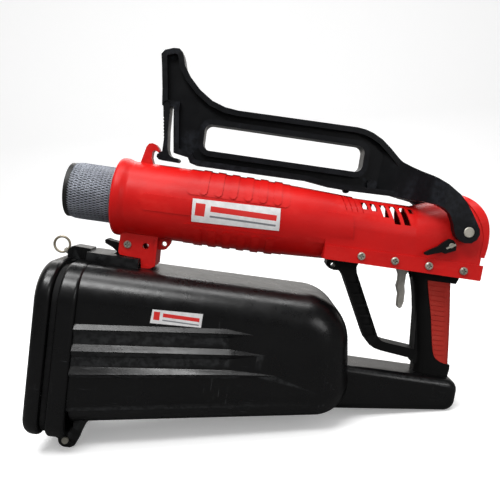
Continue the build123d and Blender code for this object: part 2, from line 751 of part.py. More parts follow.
with BuildPart() as handle:
    with BuildSketch(side(HANDLE_HALF)):
        with BuildLine():
            Spline(*HANDLE_FRONT)
            Polyline(
                HANDLE_FRONT[-1], (366.5, FOOT_Z), (367.4, -131.0), (357.0, -42.0), (359.5, -35.0),
                (359.5, -30.0), HANDLE_FRONT[0],
            )
        make_face()
    extrude(amount=2 * HANDLE_HALF)
    flanks = handle.faces().sort_by(Axis.Y)
    front_edges = [flanks[0].edges().sort_by(BARREL_AXIS)[0], flanks[-1].edges().sort_by(BARREL_AXIS)[0]]
    fillet(front_edges, HANDLE_EDGE_R)

with BuildPart() as grip:
    # open-topped frame between the screw strips
    with BuildSketch(level(FRAME_BOTTOM_Z)):
        with Locations(((FRAME_FRONT_X + FRAME_REAR_X) / 2, 0)):
            Rectangle(FRAME_REAR_X - FRAME_FRONT_X, 2 * FRAME_HALF)
    extrude(amount=FRAME_TOP_Z - FRAME_BOTTOM_Z)
    with BuildSketch(level(FRAME_FLOOR_Z)):
        with Locations(((FRAME_FRONT_X + FRAME_REAR_X) / 2, 0)):
            Rectangle(FRAME_REAR_X - FRAME_FRONT_X - 2 * FRAME_WALL, 2 * (FRAME_HALF - FRAME_WALL))
    extrude(amount=20, mode=Mode.SUBTRACT)
    # saddles under the pump, the valve and the igniter, and cheeks for the trigger pin
    for low, high in ((248, 254), (274, 280)):
        add(slab([(low, -28), (high, -28), (high, PUMP_Z), (low, PUMP_Z)], -8, 8))
    add(slab([(326, -28), (342, -28), (342, VALVE_Z - VALVE_HALF), (326, VALVE_Z - VALVE_HALF)], -26.5, -12))
    add(slab([(312, -28), (330, -28), (330, PIEZO_Z), (312, PIEZO_Z)], 11, 19))
    for low, high in ((-9.5, -6.0), (6.0, 9.5)):
        add(slab([(300, -28), (318, -28), (318, -20), (300, -20)], low, high))
    with BuildSketch(across(PUMP_FRONT_X)):
        with Locations((0, PUMP_Z)):
            Circle(PUMP_R)
    extrude(amount=PUMP_REAR_X - PUMP_FRONT_X, mode=Mode.SUBTRACT)
    with BuildSketch(across(296.0)):
        with Locations((PIEZO_Y, PIEZO_Z)):
            Circle(PIEZO_R)
    extrude(amount=46.0, mode=Mode.SUBTRACT)
    add(handle.part)
    # guard in front of the trigger with the strap lug at its upper end
    add(
        slab(
            [
                (221.8, -34.8), (221.8, -39.5), (225.0, -43.0), (230.5, -44.4), (236.9, -43.9),
                (242.0, -50.0), (272.1, -107.8), (275.5, -113.6), (280.5, -118.4), (286.0, -121.2),
                (292.8, -122.8), (331.4, -127.2), (331.4, -116.7), (323.0, -115.8), (297.5, -113.4),
                (292.5, -112.2), (288.3, -108.8), (255.0, -44.0), (253.6, -38.0), (256.0, -30.0),
                (241.0, -30.0), (239.0, -34.8),
            ],
            -GUARD_HALF,
            GUARD_HALF,
        )
    )
    # recessed panels on both flanks of the guard
    for index in range(6):
        drop = -48.0 - 10.6 * index
        front = 242.5 + 0.51 * (-48.0 - drop)
        for low, high in ((-GUARD_HALF - 1, -GUARD_HALF + 2.2), (GUARD_HALF - 2.2, GUARD_HALF + 1)):
            add(
                slab(
                    [
                        (front + 1.6, drop), (front + 11.8, drop + 1.6), (front + 15.6, drop - 6.4),
                        (front + 5.6, drop - 8.0),
                    ],
                    low,
                    high,
                ),
                mode=Mode.SUBTRACT,
            )
    add(insert_recess.part, mode=Mode.SUBTRACT)
    add(grip_tongue.part)
    # openings: strap hole, trigger slot, pin and screw holes
    add(cross_rod(*REAR_LUG, -10, 10, LUG_HOLE_R), mode=Mode.SUBTRACT)
    add(slab([(291, -15), (291, -48), (311, -48), (313.0, -48), (317.6, -36), (317.6, -15)], -5.6, 5.6),
        mode=Mode.SUBTRACT)
    add(cross_rod(*TRIGGER_PIN, -9.6, 9.6, TRIGGER_PIN_R), mode=Mode.SUBTRACT)
    for x in SKIRT_SCREW_X:
        add(cross_rod(x, SKIRT_SCREW_Z, -60, 60, SCREW_SHANK_R), mode=Mode.SUBTRACT)

with BuildPart() as grip_left:
    add(grip.part)
    split(bisect_by=Plane.XZ, keep=Keep.TOP)
save(grip_left, "grip_left")

with BuildPart() as grip_right:
    add(grip.part)
    split(bisect_by=Plane.XZ, keep=Keep.BOTTOM)
save(grip_right, "grip_right")

# ---------------------------------------------------------------------------
# Trigger
# ---------------------------------------------------------------------------
with BuildPart() as trigger:
    add(
        slab(
            [
                (305.3, -6.0), (305.1, -20.0), (297.0, -31.0), (297.8, -35.6), (300.2, -40.0),
                (300.9, -46.2), (300.1, -52.5), (301.8, -57.2), (303.5, -61.0), (303.7, -67.0),
                (304.2, -73.4), (305.6, -75.6), (307.8, -76.0), (309.4, -74.6), (310.7, -68.5),
                (310.0, -57.4), (308.5, -51.3), (308.2, -39.0), (313.5, -30.0), (313.5, -22.0),
                (309.6, -6.0),
            ],
            -TRIGGER_HALF,
            TRIGGER_HALF,
        )
    )
    add(cross_rod(*TRIGGER_PIN, -10, 10, TRIGGER_PIN_R + 0.05), mode=Mode.SUBTRACT)
save(trigger, "trigger")

with BuildPart() as trigger_pin:
    add(cross_rod(*TRIGGER_PIN, -9.5, 9.5, TRIGGER_PIN_R))
save(trigger_pin, "trigger_pin")


# ---------------------------------------------------------------------------
# Cross-recessed pan head screws
# ---------------------------------------------------------------------------
def pan_screw(x, z, hand, seat, tip):
    """Pan head screw entering from one side; seat and tip are distances from the middle plane."""
    with BuildPart() as screw:
        low, high = sorted((hand * seat, hand * tip))
        add(cross_rod(x, z, low, high, SCREW_SHANK_R))
        low, high = sorted((hand * seat, hand * (seat + SCREW_HEAD_H)))
        add(cross_rod(x, z, low, high, SCREW_HEAD_R))
        face = screw.faces().sort_by(Axis.Y)[-1 if hand > 0 else 0]
        chamfer(face.edges(), 0.9)
        low, high = sorted((hand * (seat + 0.8), hand * (seat + 4)))
        for long, wide in ((SCREW_RECESS / 2, SCREW_RECESS_W / 2), (SCREW_RECESS_W / 2, SCREW_RECESS / 2)):
            cut = [(x - long, z - wide), (x + long, z - wide), (x + long, z + wide), (x - long, z + wide)]
            add(slab(cut, low, high), mode=Mode.SUBTRACT)
    return screw.part


def screw_seat(x):
    """Lateral position of the outer surface under a strip screw."""
    spread = (SKIRT_REAR_HALF - SKIRT_HALF) / (SKIRT_REAR_X - FLARE_X)
    return SKIRT_HALF + spread * max(0.0, x + SCREW_HEAD_R - FLARE_X) + 0.02


for hand, name in ((-1, "strip_screws_left"), (1, "strip_screws_right")):
    with BuildPart() as strip_screws:
        for x in SKIRT_SCREW_X:
            add(pan_screw(x, SKIRT_SCREW_Z, hand, screw_seat(x), 26.9))
    save(strip_screws, name)

with BuildPart() as bracket_screw:
    add(pan_screw(*BRACKET_SCREW, -1, BRACKET_HALF + 0.02, -BRACKET_HALF))
    add(cross_rod(*BRACKET_SCREW, BRACKET_HALF, BRACKET_HALF + 2.4, 3.4))
save(bracket_screw, "bracket_screw")

# ---------------------------------------------------------------------------
# Folding shoulder stock
# ---------------------------------------------------------------------------
STOCK_OUTLINE = [
    (25.8, 146.7), (29.0, 151.0), (37.5, 154.0), (43.0, 154.2), (46.6, 151.4), (48.4, 146.5), (50.9, 138.2),
    (57.6, 128.5), (68.9, 117.3), (82.1, 108.6), (95.9, 104.1), (109.3, 102.7), (230.9, 103.4),
    (240.0, 102.4), (247.9, 100.0), (257.9, 95.1), (268.4, 87.1), (281.6, 75.5), (297.9, 67.6),
    (305.0, 64.6), (305.0, 38.1), (280.0, 40.0), (233.6, 39.1), (212.7, 39.7), (187.4, 42.8),
    (73.3, 42.4), (67.5, 44.0), (64.5, 49.6), (49.7, 52.0), (46.9, 74.4), (44.6, 94.0),
    (44.6, 97.5), (32.4, 97.5), (30.9, 113.0), (27.6, 135.9),
]
ARM_OUTLINE = [
    (256.0, 96.2), (268.4, 87.1), (281.6, 75.5), (297.9, 67.6), (309.8, 62.7), (319.1, 57.6), (331.6, 49.9),
    (338.9, 42.9), (345.7, 34.2), (351.3, 26.0), (355.6, 19.5), (356.6, 14.5), (354.6, 9.0), (350.0, 5.2),
    (344.0, 4.4), (338.0, 6.4), (333.6, 10.0), (331.0, 15.5), (329.0, 22.0), (324.1, 30.4), (318.0, 34.8),
    (312.6, 37.2), (303.0, 38.2), (293.5, 38.6), (280.0, 40.0), (256.0, 40.0),
]
YOKE_PLAN = [
    (250, -5), (262, -5), (276, -9), (290, -20), (306, -41), (318, -ARM_OUT), (362, -ARM_OUT),
    (362, -ARM_IN), (322, -ARM_IN), (309, -32), (300, -20), (297, 0), (300, 20), (309, 32),
    (322, ARM_IN), (362, ARM_IN), (362, ARM_OUT), (318, ARM_OUT), (306, 41), (290, 20), (276, 9),
    (262, 5), (250, 5),
]
HAND_SLOT_CENTRE = (160.25, 72.15)
HAND_SLOT_LENGTH = 163.5
HAND_SLOT_HEIGHT = 26.3
HAND_SLOT_CORNER = 7.0
LATCH_PIVOT = (37.2, 98.6)
LATCH_KNUCKLE_R = 3.7
# nut, shank and cap of a pivot bolt: inner and outer distance from the middle plane, radius
BOLT_STEPS = ((31.0, 33.98, 7.0), (31.0, 48.7, PIVOT_R - PIVOT_CLEARANCE), (48.65, 50.6, 5.1))

with BuildPart() as stock_yoke:
    with BuildSketch(level(0)):
        add(outline(YOKE_PLAN))
    extrude(amount=110)
    add(slab(ARM_OUTLINE, -60, 60), mode=Mode.INTERSECT)

with BuildPart() as shoulder_stock:
    with BuildSketch(side(STOCK_HALF)) as stock_plan:
        add(outline(STOCK_OUTLINE))
        with Locations(HAND_SLOT_CENTRE):
            RectangleRounded(HAND_SLOT_LENGTH, HAND_SLOT_HEIGHT, HAND_SLOT_CORNER, mode=Mode.SUBTRACT)
    extrude(amount=2 * STOCK_HALF)
    # recessed web inside the raised rims
    for start in (STOCK_HALF, -STOCK_WEB_HALF):
        with BuildSketch(side(start)):
            add(outline(STOCK_OUTLINE))
            with Locations(HAND_SLOT_CENTRE):
                RectangleRounded(HAND_SLOT_LENGTH, HAND_SLOT_HEIGHT, HAND_SLOT_CORNER, mode=Mode.SUBTRACT)
            offset(amount=-STOCK_RIM, kind=Kind.INTERSECTION, mode=Mode.REPLACE)
        extrude(amount=STOCK_HALF - STOCK_WEB_HALF, mode=Mode.SUBTRACT)
    # yoke with the two arms
    add(stock_yoke.part)
    # moulding bosses and the stop nub underneath
    add(cross_rod(255.2, 48.6, -8.5, 8.5, 5.2))
    add(cross_rod(285.1, 48.1, -13.0, 13.0, 4.6))
    add(cross_rod(230.9, 39.6, -3.5, 3.5, 3.4))
    # pivot bores with seats for the bolt heads
    add(cross_rod(PIVOT_X, PIVOT_Z, -60, 60, PIVOT_R), mode=Mode.SUBTRACT)
    for low, high in ((-60.0, -48.6), (48.6, 60.0)):
        add(cross_rod(PIVOT_X, PIVOT_Z, low, high, 5.5), mode=Mode.SUBTRACT)
    # socket for the catch finger
    add(cross_rod(*LATCH_PIVOT, -20, 20, LATCH_KNUCKLE_R + 0.25), mode=Mode.SUBTRACT)
    add(slab([(33.3, 90), (33.3, 97.8), (41.0, 97.8), (41.0, 90)], -20, 20), mode=Mode.SUBTRACT)
save(shoulder_stock, "shoulder_stock")

with BuildPart() as stock_latch:
    add(
        slab(
            [
                (33.6, 97.0), (36.0, 79.0), (38.2, 63.4), (38.0, 52.0), (33.2, 48.3), (33.0, 45.6),
                (35.3, 43.2), (54.2, 42.7), (56.1, 44.4), (55.0, 46.6), (48.6, 47.2), (45.2, 49.6),
                (43.0, 55.0), (41.2, 73.5), (40.7, 97.0),
            ],
            -STOCK_HALF + 1.0,
            STOCK_HALF - 1.0,
        )
    )
    add(cross_rod(*LATCH_PIVOT, -STOCK_HALF + 1.0, STOCK_HALF - 1.0, LATCH_KNUCKLE_R))
    # thumb serrations
    for index in range(7):
        height = 66.0 + 3.2 * index
        add(cross_rod(38.2 - 0.132 * (height - 63.4) - 0.5, height, -20, 20, 0.9), mode=Mode.SUBTRACT)
save(stock_latch, "stock_latch")

for hand, name in ((-1, "pivot_bolt_left"), (1, "pivot_bolt_right")):
    with BuildPart() as pivot_bolt:
        for inner, outer, radius in BOLT_STEPS:
            low, high = sorted((hand * inner, hand * outer))
            add(cross_rod(PIVOT_X, PIVOT_Z, low, high, radius))
        chamfer(pivot_bolt.faces().sort_by(Axis.Y)[-1 if hand > 0 else 0].edges(), 0.5)
    save(pivot_bolt, name)

# ---------------------------------------------------------------------------
# Tank case with rail, tail and hinge lugs
# ---------------------------------------------------------------------------
CASE_HALF = 62.0
CASE_SIDE_ROUND = 33.0
CASE_OUTLINE = [(-17.0, -70.0), (245.0, -68.0), (264.0, -186.0), (-17.0, -234.0)]
CASE_TOP_ROUND = 48.0
CASE_BOTTOM_ROUND = 36.0
RAIL_HALF = 20.0
RAIL_FRONT_X = -24.0
RAIL_REAR_X = 29.4
LATCH_PIN_Z = -64.4
LATCH_PIN_R = 2.0
LUG_ROUND = 8.0
BODY_LUGS = ((-37.0, -30.3), (30.3, 37.0))
LID_ARMS = ((-30.0, -24.0), (24.0, 30.0))
RIB_HEIGHT = 3.6
RIB_FRONT_X = -16.0
# each rib: upper, crest and lower heights at the front, the station where it starts to close with its
# heights there, and its pointed end
SIDE_RIBS = (
    ((-122.1, -128.3, -137.7), 128.0, (-106.8, -112.0, -119.8), (163.0, -110.4)),
    ((-141.2, -149.6, -159.7), 133.0, (-126.0, -132.4, -140.4), (180.0, -128.0)),
    ((-163.3, -173.1, -179.0), 138.0, (-146.8, -151.4, -158.6), (195.0, -146.7)),
)


def rib_section(x, heights, rise, hand):
    """Triangular cross-section of a case rib on one flank."""
    upper, crest, lower = heights
    with BuildSketch(across(x)) as section:
        with BuildLine():
            Polyline(
                (hand * (CASE_HALF - 1.5), upper), (hand * (CASE_HALF + rise), crest),
                (hand * (CASE_HALF - 1.5), lower), close=True,
            )
        make_face()
    return section.sketch.face()


def case_profile(inset):
    """Side-view outline of the case with rounded rear corners."""
    with BuildSketch() as profile:
        with BuildLine():
            Polyline(*CASE_OUTLINE, close=True)
        make_face()
        fillet(profile.vertices().sort_by(Axis.X)[-2:].sort_by(Axis.Y)[-1], CASE_TOP_ROUND)
        fillet(profile.vertices().sort_by(Axis.X)[-1], CASE_BOTTOM_ROUND)
        if inset:
            offset(amount=-inset, kind=Kind.INTERSECTION, mode=Mode.REPLACE)
    return profile.sketch


def case_block(inset):
    """Blow-moulded body with rounded shoulders, solid, reduced by the inset."""
    with BuildPart() as block:
        with BuildSketch(side(CASE_HALF - inset)):
            add(case_profile(inset))
        extrude(amount=2 * (CASE_HALF - inset))
        flanks = block.faces().sort_by(Axis.Y)
        rounded = flanks[0].edges().sort_by(BARREL_AXIS)[1:] + flanks[-1].edges().sort_by(BARREL_AXIS)[1:]
        fillet(rounded, CASE_SIDE_ROUND - inset)
    return block.part


def rim_block(x_low, x_high, inset):
    """Rounded rectangular block with the outline of the case mouth, reduced by the inset."""
    half = LID_HALF - inset
    with BuildPart() as band:
        with BuildSketch(across(x_low)) as section:
            with Locations((0, (CASE_TOP_Z + LID_BOTTOM_Z) / 2)):
                Rectangle(2 * half, CASE_TOP_Z - LID_BOTTOM_Z - 2 * inset)
            fillet(section.vertices().group_by(Axis.Y)[-1], LID_CORNER_TOP - inset)
            fillet(section.vertices().group_by(Axis.Y)[0], LID_CORNER_BOTTOM - inset)
        extrude(amount=x_high - x_low)
    return band.part


with BuildPart() as tail_block:
    with BuildSketch(side(TAIL_HALF)) as tail_plan:
        add(outline([(238, TAIL_TOP_Z), (377, TAIL_TOP_Z), (377, -173.53), (238, -190.85)]))
        fillet(tail_plan.vertices().sort_by(Axis.X)[-2:], TAIL_END_R)
    extrude(amount=2 * TAIL_HALF)
    flanks = tail_block.faces().sort_by(Axis.Y)
    rounded = flanks[0].edges().sort_by(BARREL_AXIS)[1:] + flanks[-1].edges().sort_by(BARREL_AXIS)[1:]
    fillet(rounded, TAIL_EDGE_R)

with BuildPart() as side_ribs:
    for start_heights, knee_x, knee_heights, (tip_x, tip_z) in SIDE_RIBS:
        for hand in (-1, 1):
            front_section = rib_section(RIB_FRONT_X, start_heights, RIB_HEIGHT, hand)
            knee_section = rib_section(knee_x, knee_heights, RIB_HEIGHT, hand)
            tip_section = rib_section(tip_x, (tip_z + 1.0, tip_z, tip_z - 1.2), -1.0, hand)
            loft(sections=[front_section, knee_section], ruled=True)
            loft(sections=[knee_section, tip_section], ruled=True)

with BuildPart() as flange_band:
    add(rim_block(FLANGE_FRONT_X, FLANGE_REAR_X, 0))
    fillet(flange_band.faces().sort_by(BARREL_AXIS)[-1].edges(), 4.0)
    fillet(flange_band.faces().sort_by(BARREL_AXIS)[0].edges(), 3.0)

with BuildPart() as case_mouth:
    add(rim_block(FLANGE_FRONT_X - 1, -14.0, 6.4))

with BuildPart() as tank_body:
    add(case_block(0))
    # flat tail that carries the grip
    add(tail_block.part)
    # moulded ribs on both flanks
    add(side_ribs.part)
    add(flange_band.part)
    # rail on top with the notch for the clamp tooth, and the latch block ahead of it
    rail = [(RAIL_FRONT_X, -74), (RAIL_REAR_X, -74), (RAIL_REAR_X, RAIL_TOP_Z), (RAIL_FRONT_X, RAIL_TOP_Z)]
    add(slab(rail, -RAIL_HALF, RAIL_HALF))
    notch = [(0.0, RAIL_TOP_Z + 1), (17.0, RAIL_TOP_Z + 1), (17.0, -66), (0.0, -66)]
    add(slab(notch, -7, 7), mode=Mode.SUBTRACT)
    latch_block = [
        (-40.5, -57.0), (-23.0, -57.6), (-23.0, -76.0), (FLANGE_FRONT_X, -76.0), (FLANGE_FRONT_X, -71.8),
        (-40.5, -70.0),
    ]
    add(slab(latch_block, -10, 10))
    # hinge lugs underneath
    for low, high in BODY_LUGS:
        hinge_lug = [
            (-27.5, -256), (-27.5, -240), (-16, -228), (3.0, -228), (-1.5, -234), (-5.5, -245), (-7.0, -251),
            (-10.4, -259.1), (LUG_FOOT_X, LUG_FOOT_Z), (-21.8, -261.8),
        ]
        add(slab(hinge_lug, low, high))
        add(cross_rod(HINGE_X, HINGE_Z, low, high, LUG_ROUND))
    # hollow inside
    add(case_block(CASE_WALL), mode=Mode.SUBTRACT)
    add(case_mouth.part, mode=Mode.SUBTRACT)
    add(cross_rod(HINGE_X, HINGE_Z, -60, 60, HINGE_PIN_R), mode=Mode.SUBTRACT)
    with BuildSketch(across(-42)):
        with Locations((0, LATCH_PIN_Z)):
            Circle(LATCH_PIN_R + 0.06)
    extrude(amount=17, mode=Mode.SUBTRACT)
    # opening in the rail for the hoses and the joint under the grip foot
    add(slab([(19.5, -50), (19.5, -90), (28.0, -90), (28.0, -50)], -9, 9), mode=Mode.SUBTRACT)
save(tank_body, "tank_body")

with BuildPart() as lid_gasket:
    add(rim_block(LID_REAR_X + 0.3, FLANGE_FRONT_X, 4.4))
    add(rim_block(LID_REAR_X - 1, FLANGE_FRONT_X + 1, 6.4), mode=Mode.SUBTRACT)
save(lid_gasket, "lid_gasket")

with BuildPart() as tank_lid:
    add(rim_block(LID_FRONT_X, LID_REAR_X, 0))
    front = tank_lid.faces().sort_by(BARREL_AXIS)[0]
    fillet(front.edges(), 10.0)
    fillet(tank_lid.faces().sort_by(BARREL_AXIS)[-1].edges(), 4.0)
    add(rim_block(LID_FRONT_X + 4.0, LID_REAR_X + 1, 5.0), mode=Mode.SUBTRACT)
    # raised field on the front face
    with BuildSketch(across(LID_FRONT_X - 1.6)) as field:
        with Locations((0, (CASE_TOP_Z + LID_BOTTOM_Z) / 2)):
            RectangleRounded(2 * LID_HALF - 34, CASE_TOP_Z - LID_BOTTOM_Z - 34, 18)
    extrude(amount=3.0)
    # latch lug at the top and hinge arms at the bottom
    latch_lug = [(-50.0, -76), (-41.4, -76), (-41.4, -57.6), (-43.0, -57.9), (-47.0, -61.8), (-47.0, -71)]
    add(slab(latch_lug, -8, 8))
    with BuildSketch(across(-60)):
        with Locations((0, LATCH_PIN_Z)):
            Circle(LATCH_PIN_R + 0.06)
    extrude(amount=20, mode=Mode.SUBTRACT)
    for low, high in LID_ARMS:
        hinge_arm = [
            (-50.0, -242), (-50.0, -248), (-24.0, -260.4), (-17.0, -259.5), (-17.0, -250.0), (-24.0, -247.0),
            (-41.2, -246.6), (-41.2, -242),
        ]
        add(slab(hinge_arm, low, high))
        add(cross_rod(HINGE_X, HINGE_Z, low, high, 7.2))
    add(cross_rod(HINGE_X, HINGE_Z, -60, 60, HINGE_PIN_R + 0.06), mode=Mode.SUBTRACT)
save(tank_lid, "tank_lid")

with BuildPart() as lid_hinge_pin:
    add(cross_rod(HINGE_X, HINGE_Z, -38.0, 38.0, HINGE_PIN_R))
    for low, high in ((-40.0, -37.6), (37.6, 40.0)):
        add(cross_rod(HINGE_X, HINGE_Z, low, high, 3.4))
save(lid_hinge_pin, "lid_hinge_pin")

RING_R = 8.2
RING_WIRE_R = 1.25
EYE = (-50.4, -64.4)
EYE_R = 3.2
EYE_HOLE_R = 1.6
EYE_THICK = 3.0
EYE_UP = Vector(*REARWARD) + Vector(*UPWARD)
EYE_OUT = Vector(*UPWARD) - Vector(*REARWARD)

with BuildPart() as latch_pin:
    with BuildSketch(across(-47.05)):
        with Locations((0, LATCH_PIN_Z)):
            Circle(LATCH_PIN_R)
    extrude(amount=19.45)
    with BuildSketch(across(-48.0)):
        with Locations((0, LATCH_PIN_Z - 1.6)):
            Circle(1.3)
    extrude(amount=0.95)
    # slanted eye for the ring
    with BuildSketch(Plane(origin=spot(EYE[0], 0, EYE[1]), z_dir=EYE_UP)):
        Circle(EYE_R)
    extrude(amount=EYE_THICK / 2, both=True)
    with BuildSketch(Plane(origin=spot(EYE[0], 0, EYE[1]), z_dir=EYE_UP)):
        Circle(EYE_HOLE_R)
    extrude(amount=EYE_THICK, both=True, mode=Mode.SUBTRACT)
save(latch_pin, "latch_pin")

with BuildPart() as pull_ring:
    ring_centre = Vector(*spot(EYE[0], 0, EYE[1])) + EYE_OUT.normalized() * RING_R
    with BuildSketch(Plane(origin=spot(EYE[0], 0, EYE[1]), z_dir=EYE_UP)):
        Circle(RING_WIRE_R)
    revolve(axis=Axis(ring_centre, (0, 1, 0)))
save(pull_ring, "pull_ring")

with BuildPart() as clamp_lever:
    add(
        slab(
            [
                (-10.6, -47.0), (-9.6, -50.2), (-2.0, -53.4), (3.0, -57.0), (4.0, -64.5), (8.0, -64.5),
                (8.6, -59.0), (13.0, -54.5), (14.0, -50.0), (11.5, -47.4), (4.0, -47.6), (-4.0, -46.6),
                (-8.6, -45.4),
            ],
            -6.5,
            6.5,
        )
    )
    add(cross_rod(*CLAMP_PIN, -8.8, 8.8, 3.4))
    add(cross_rod(*CLAMP_PIN, -12, 12, CLAMP_PIN_R + 0.05), mode=Mode.SUBTRACT)
save(clamp_lever, "clamp_lever")

with BuildPart() as clamp_pin:
    add(cross_rod(*CLAMP_PIN, -11.9, 11.9, CLAMP_PIN_R))
save(clamp_pin, "clamp_pin")

# ---------------------------------------------------------------------------
# Contents of the case and the hoses
# ---------------------------------------------------------------------------
CYLINDER_R = 32.5
CYLINDER_WALL = 1.4
CYLINDER_Y = 26.0
CYLINDER_Z = -122.0
CYLINDER_FRONT_X = 4.0
CYLINDER_REAR_X = 176.0
REGULATOR_X = CYLINDER_FRONT_X - 14
GAS_RUN_Z = -81.5
BOTTLE_CENTRE = (77.0, -28.0)
BOTTLE_LENGTH = 110.0
BOTTLE_WIDTH = 40.0
BOTTLE_HEIGHT = 53.0
BOTTLE_FLOOR_Z = -191.0
BOTTLE_WALL = 2.0
NECK = (50.0, -30.0)
NECK_OUTER_R = 14.0
NECK_INNER_R = 11.5
CAP_R = 16.0
HOSE_R = 2.4
HOSE_X = 24.5
HOSE_BEND = 7.0
HOSE_END_Z = -33.5

with BuildPart() as cylinder_void:
    with BuildSketch(across(CYLINDER_FRONT_X + CYLINDER_WALL)):
        with Locations((CYLINDER_Y, CYLINDER_Z)):
            Circle(CYLINDER_R - CYLINDER_WALL)
    extrude(amount=CYLINDER_REAR_X - CYLINDER_FRONT_X - 2 * CYLINDER_WALL)
    chamfer(cylinder_void.edges().filter_by(GeomType.CIRCLE), 4.4)

with BuildPart() as gas_cylinder:
    with BuildSketch(across(CYLINDER_FRONT_X)):
        with Locations((CYLINDER_Y, CYLINDER_Z)):
            Circle(CYLINDER_R)
    extrude(amount=CYLINDER_REAR_X - CYLINDER_FRONT_X)
    chamfer(gas_cylinder.edges().filter_by(GeomType.CIRCLE), 5.0)
    with BuildSketch(across(CYLINDER_FRONT_X - 8)):
        with Locations((CYLINDER_Y, CYLINDER_Z)):
            Circle(13)
    extrude(amount=9)
    add(cylinder_void.part, mode=Mode.SUBTRACT)
save(gas_cylinder, "gas_cylinder")

with BuildPart() as cylinder_regulator:
    with BuildSketch(across(CYLINDER_FRONT_X - 26)):
        with Locations((CYLINDER_Y, CYLINDER_Z)):
            Circle(16)
    extrude(amount=17.98)
    with BuildSketch(level(CYLINDER_Z + 15)):
        with Locations((REGULATOR_X, CYLINDER_Y)):
            Circle(4)
    extrude(amount=10)
save(cylinder_regulator, "cylinder_regulator")

with BuildPart() as chemical_bottle:
    with BuildSketch(level(BOTTLE_FLOOR_Z)):
        with Locations(BOTTLE_CENTRE):
            RectangleRounded(BOTTLE_LENGTH, BOTTLE_WIDTH, 10)
    extrude(amount=BOTTLE_HEIGHT)
    fillet(chemical_bottle.faces().sort_by(Axis(spot(0, 0, 0), UPWARD))[-1].edges(), 6)
    with BuildSketch(level(-141.0)):
        with Locations(NECK):
            Circle(NECK_OUTER_R)
    extrude(amount=14)
    with BuildSketch(level(BOTTLE_FLOOR_Z + BOTTLE_WALL)):
        with Locations(BOTTLE_CENTRE):
            RectangleRounded(BOTTLE_LENGTH - 2 * BOTTLE_WALL, BOTTLE_WIDTH - 2 * BOTTLE_WALL, 8)
    extrude(amount=BOTTLE_HEIGHT - 2.5 * BOTTLE_WALL, mode=Mode.SUBTRACT)
    with BuildSketch(level(-150.0)):
        with Locations(NECK):
            Circle(NECK_INNER_R)
    extrude(amount=30, mode=Mode.SUBTRACT)
save(chemical_bottle, "chemical_bottle")

with BuildPart() as bottle_cap:
    with BuildSketch(level(-126.98)):
        with Locations(NECK):
            Circle(CAP_R)
    extrude(amount=8)
    with BuildSketch(level(-140)):
        with Locations(NECK):
            Circle(HOSE_R + 0.02)
    extrude(amount=30, mode=Mode.SUBTRACT)
save(bottle_cap, "bottle_cap")


def hose(points, radius):
    """Round hose along a smooth line through body-frame points."""
    with BuildPart() as tube:
        with BuildLine() as path:
            FilletPolyline(*[spot(*p) for p in points], radius=HOSE_BEND)
        with BuildSketch(Plane(origin=path.line @ 0, z_dir=path.line % 0)):
            Circle(radius)
        sweep(path=path.line)
    return tube.part


with BuildPart() as suction_tube:
    add(
        hose(
            [(*NECK, -186), (*NECK, -100), (HOSE_X, -4.5, -88), (HOSE_X, -4.5, HOSE_END_Z)],
            HOSE_R,
        )
    )
save(suction_tube, "suction_tube")

with BuildPart() as gas_hose:
    add(
        hose(
            [
                (REGULATOR_X, CYLINDER_Y, CYLINDER_Z + 25.1), (REGULATOR_X, CYLINDER_Y, GAS_RUN_Z),
                (HOSE_X, 4.5, GAS_RUN_Z), (HOSE_X, 4.5, HOSE_END_Z),
            ],
            HOSE_R,
        )
    )
save(gas_hose, "gas_hose")

# ---------------------------------------------------------------------------
# Blank stickers
# ---------------------------------------------------------------------------
with BuildPart() as case_label:
    add(slab([(56.1, -99.2), (104.3, -97.0), (104.0, -110.5), (55.1, -112.7)], -CASE_HALF - 0.25, -CASE_HALF))
save(case_label, "case_label")

with BuildPart() as barrel_label:
    add(slab([(78.0, 9.9), (164.5, 12.1), (166.1, -10.1), (79.1, -12.9)], -60, -20))
    add(sleeve(0.35), mode=Mode.INTERSECT)
    add(shell.part, mode=Mode.SUBTRACT)
save(barrel_label, "barrel_label")
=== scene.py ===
import json
import math

import bmesh
import bpy
from mathutils import Matrix, Vector


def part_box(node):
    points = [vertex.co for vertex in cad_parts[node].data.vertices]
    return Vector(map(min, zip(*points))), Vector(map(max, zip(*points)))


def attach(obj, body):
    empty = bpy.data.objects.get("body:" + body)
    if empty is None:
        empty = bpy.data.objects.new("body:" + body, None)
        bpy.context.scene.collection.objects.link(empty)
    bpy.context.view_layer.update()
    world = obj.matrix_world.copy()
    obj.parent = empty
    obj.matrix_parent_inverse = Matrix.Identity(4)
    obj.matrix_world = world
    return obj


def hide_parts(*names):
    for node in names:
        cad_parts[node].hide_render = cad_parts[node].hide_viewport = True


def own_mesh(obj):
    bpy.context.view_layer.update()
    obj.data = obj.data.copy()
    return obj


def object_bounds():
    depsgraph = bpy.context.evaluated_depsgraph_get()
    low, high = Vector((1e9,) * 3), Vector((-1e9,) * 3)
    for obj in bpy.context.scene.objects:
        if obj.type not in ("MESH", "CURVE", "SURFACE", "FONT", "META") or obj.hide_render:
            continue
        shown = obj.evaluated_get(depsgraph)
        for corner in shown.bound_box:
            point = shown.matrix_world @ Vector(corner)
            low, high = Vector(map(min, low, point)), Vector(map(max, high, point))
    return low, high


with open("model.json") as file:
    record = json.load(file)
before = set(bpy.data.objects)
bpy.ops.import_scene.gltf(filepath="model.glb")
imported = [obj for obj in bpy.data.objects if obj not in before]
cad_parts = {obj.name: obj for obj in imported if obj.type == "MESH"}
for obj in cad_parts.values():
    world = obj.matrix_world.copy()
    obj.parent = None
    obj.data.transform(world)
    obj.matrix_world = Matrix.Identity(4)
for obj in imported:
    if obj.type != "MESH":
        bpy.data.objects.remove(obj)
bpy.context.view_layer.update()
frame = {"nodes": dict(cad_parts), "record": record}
NODES = frame["nodes"]
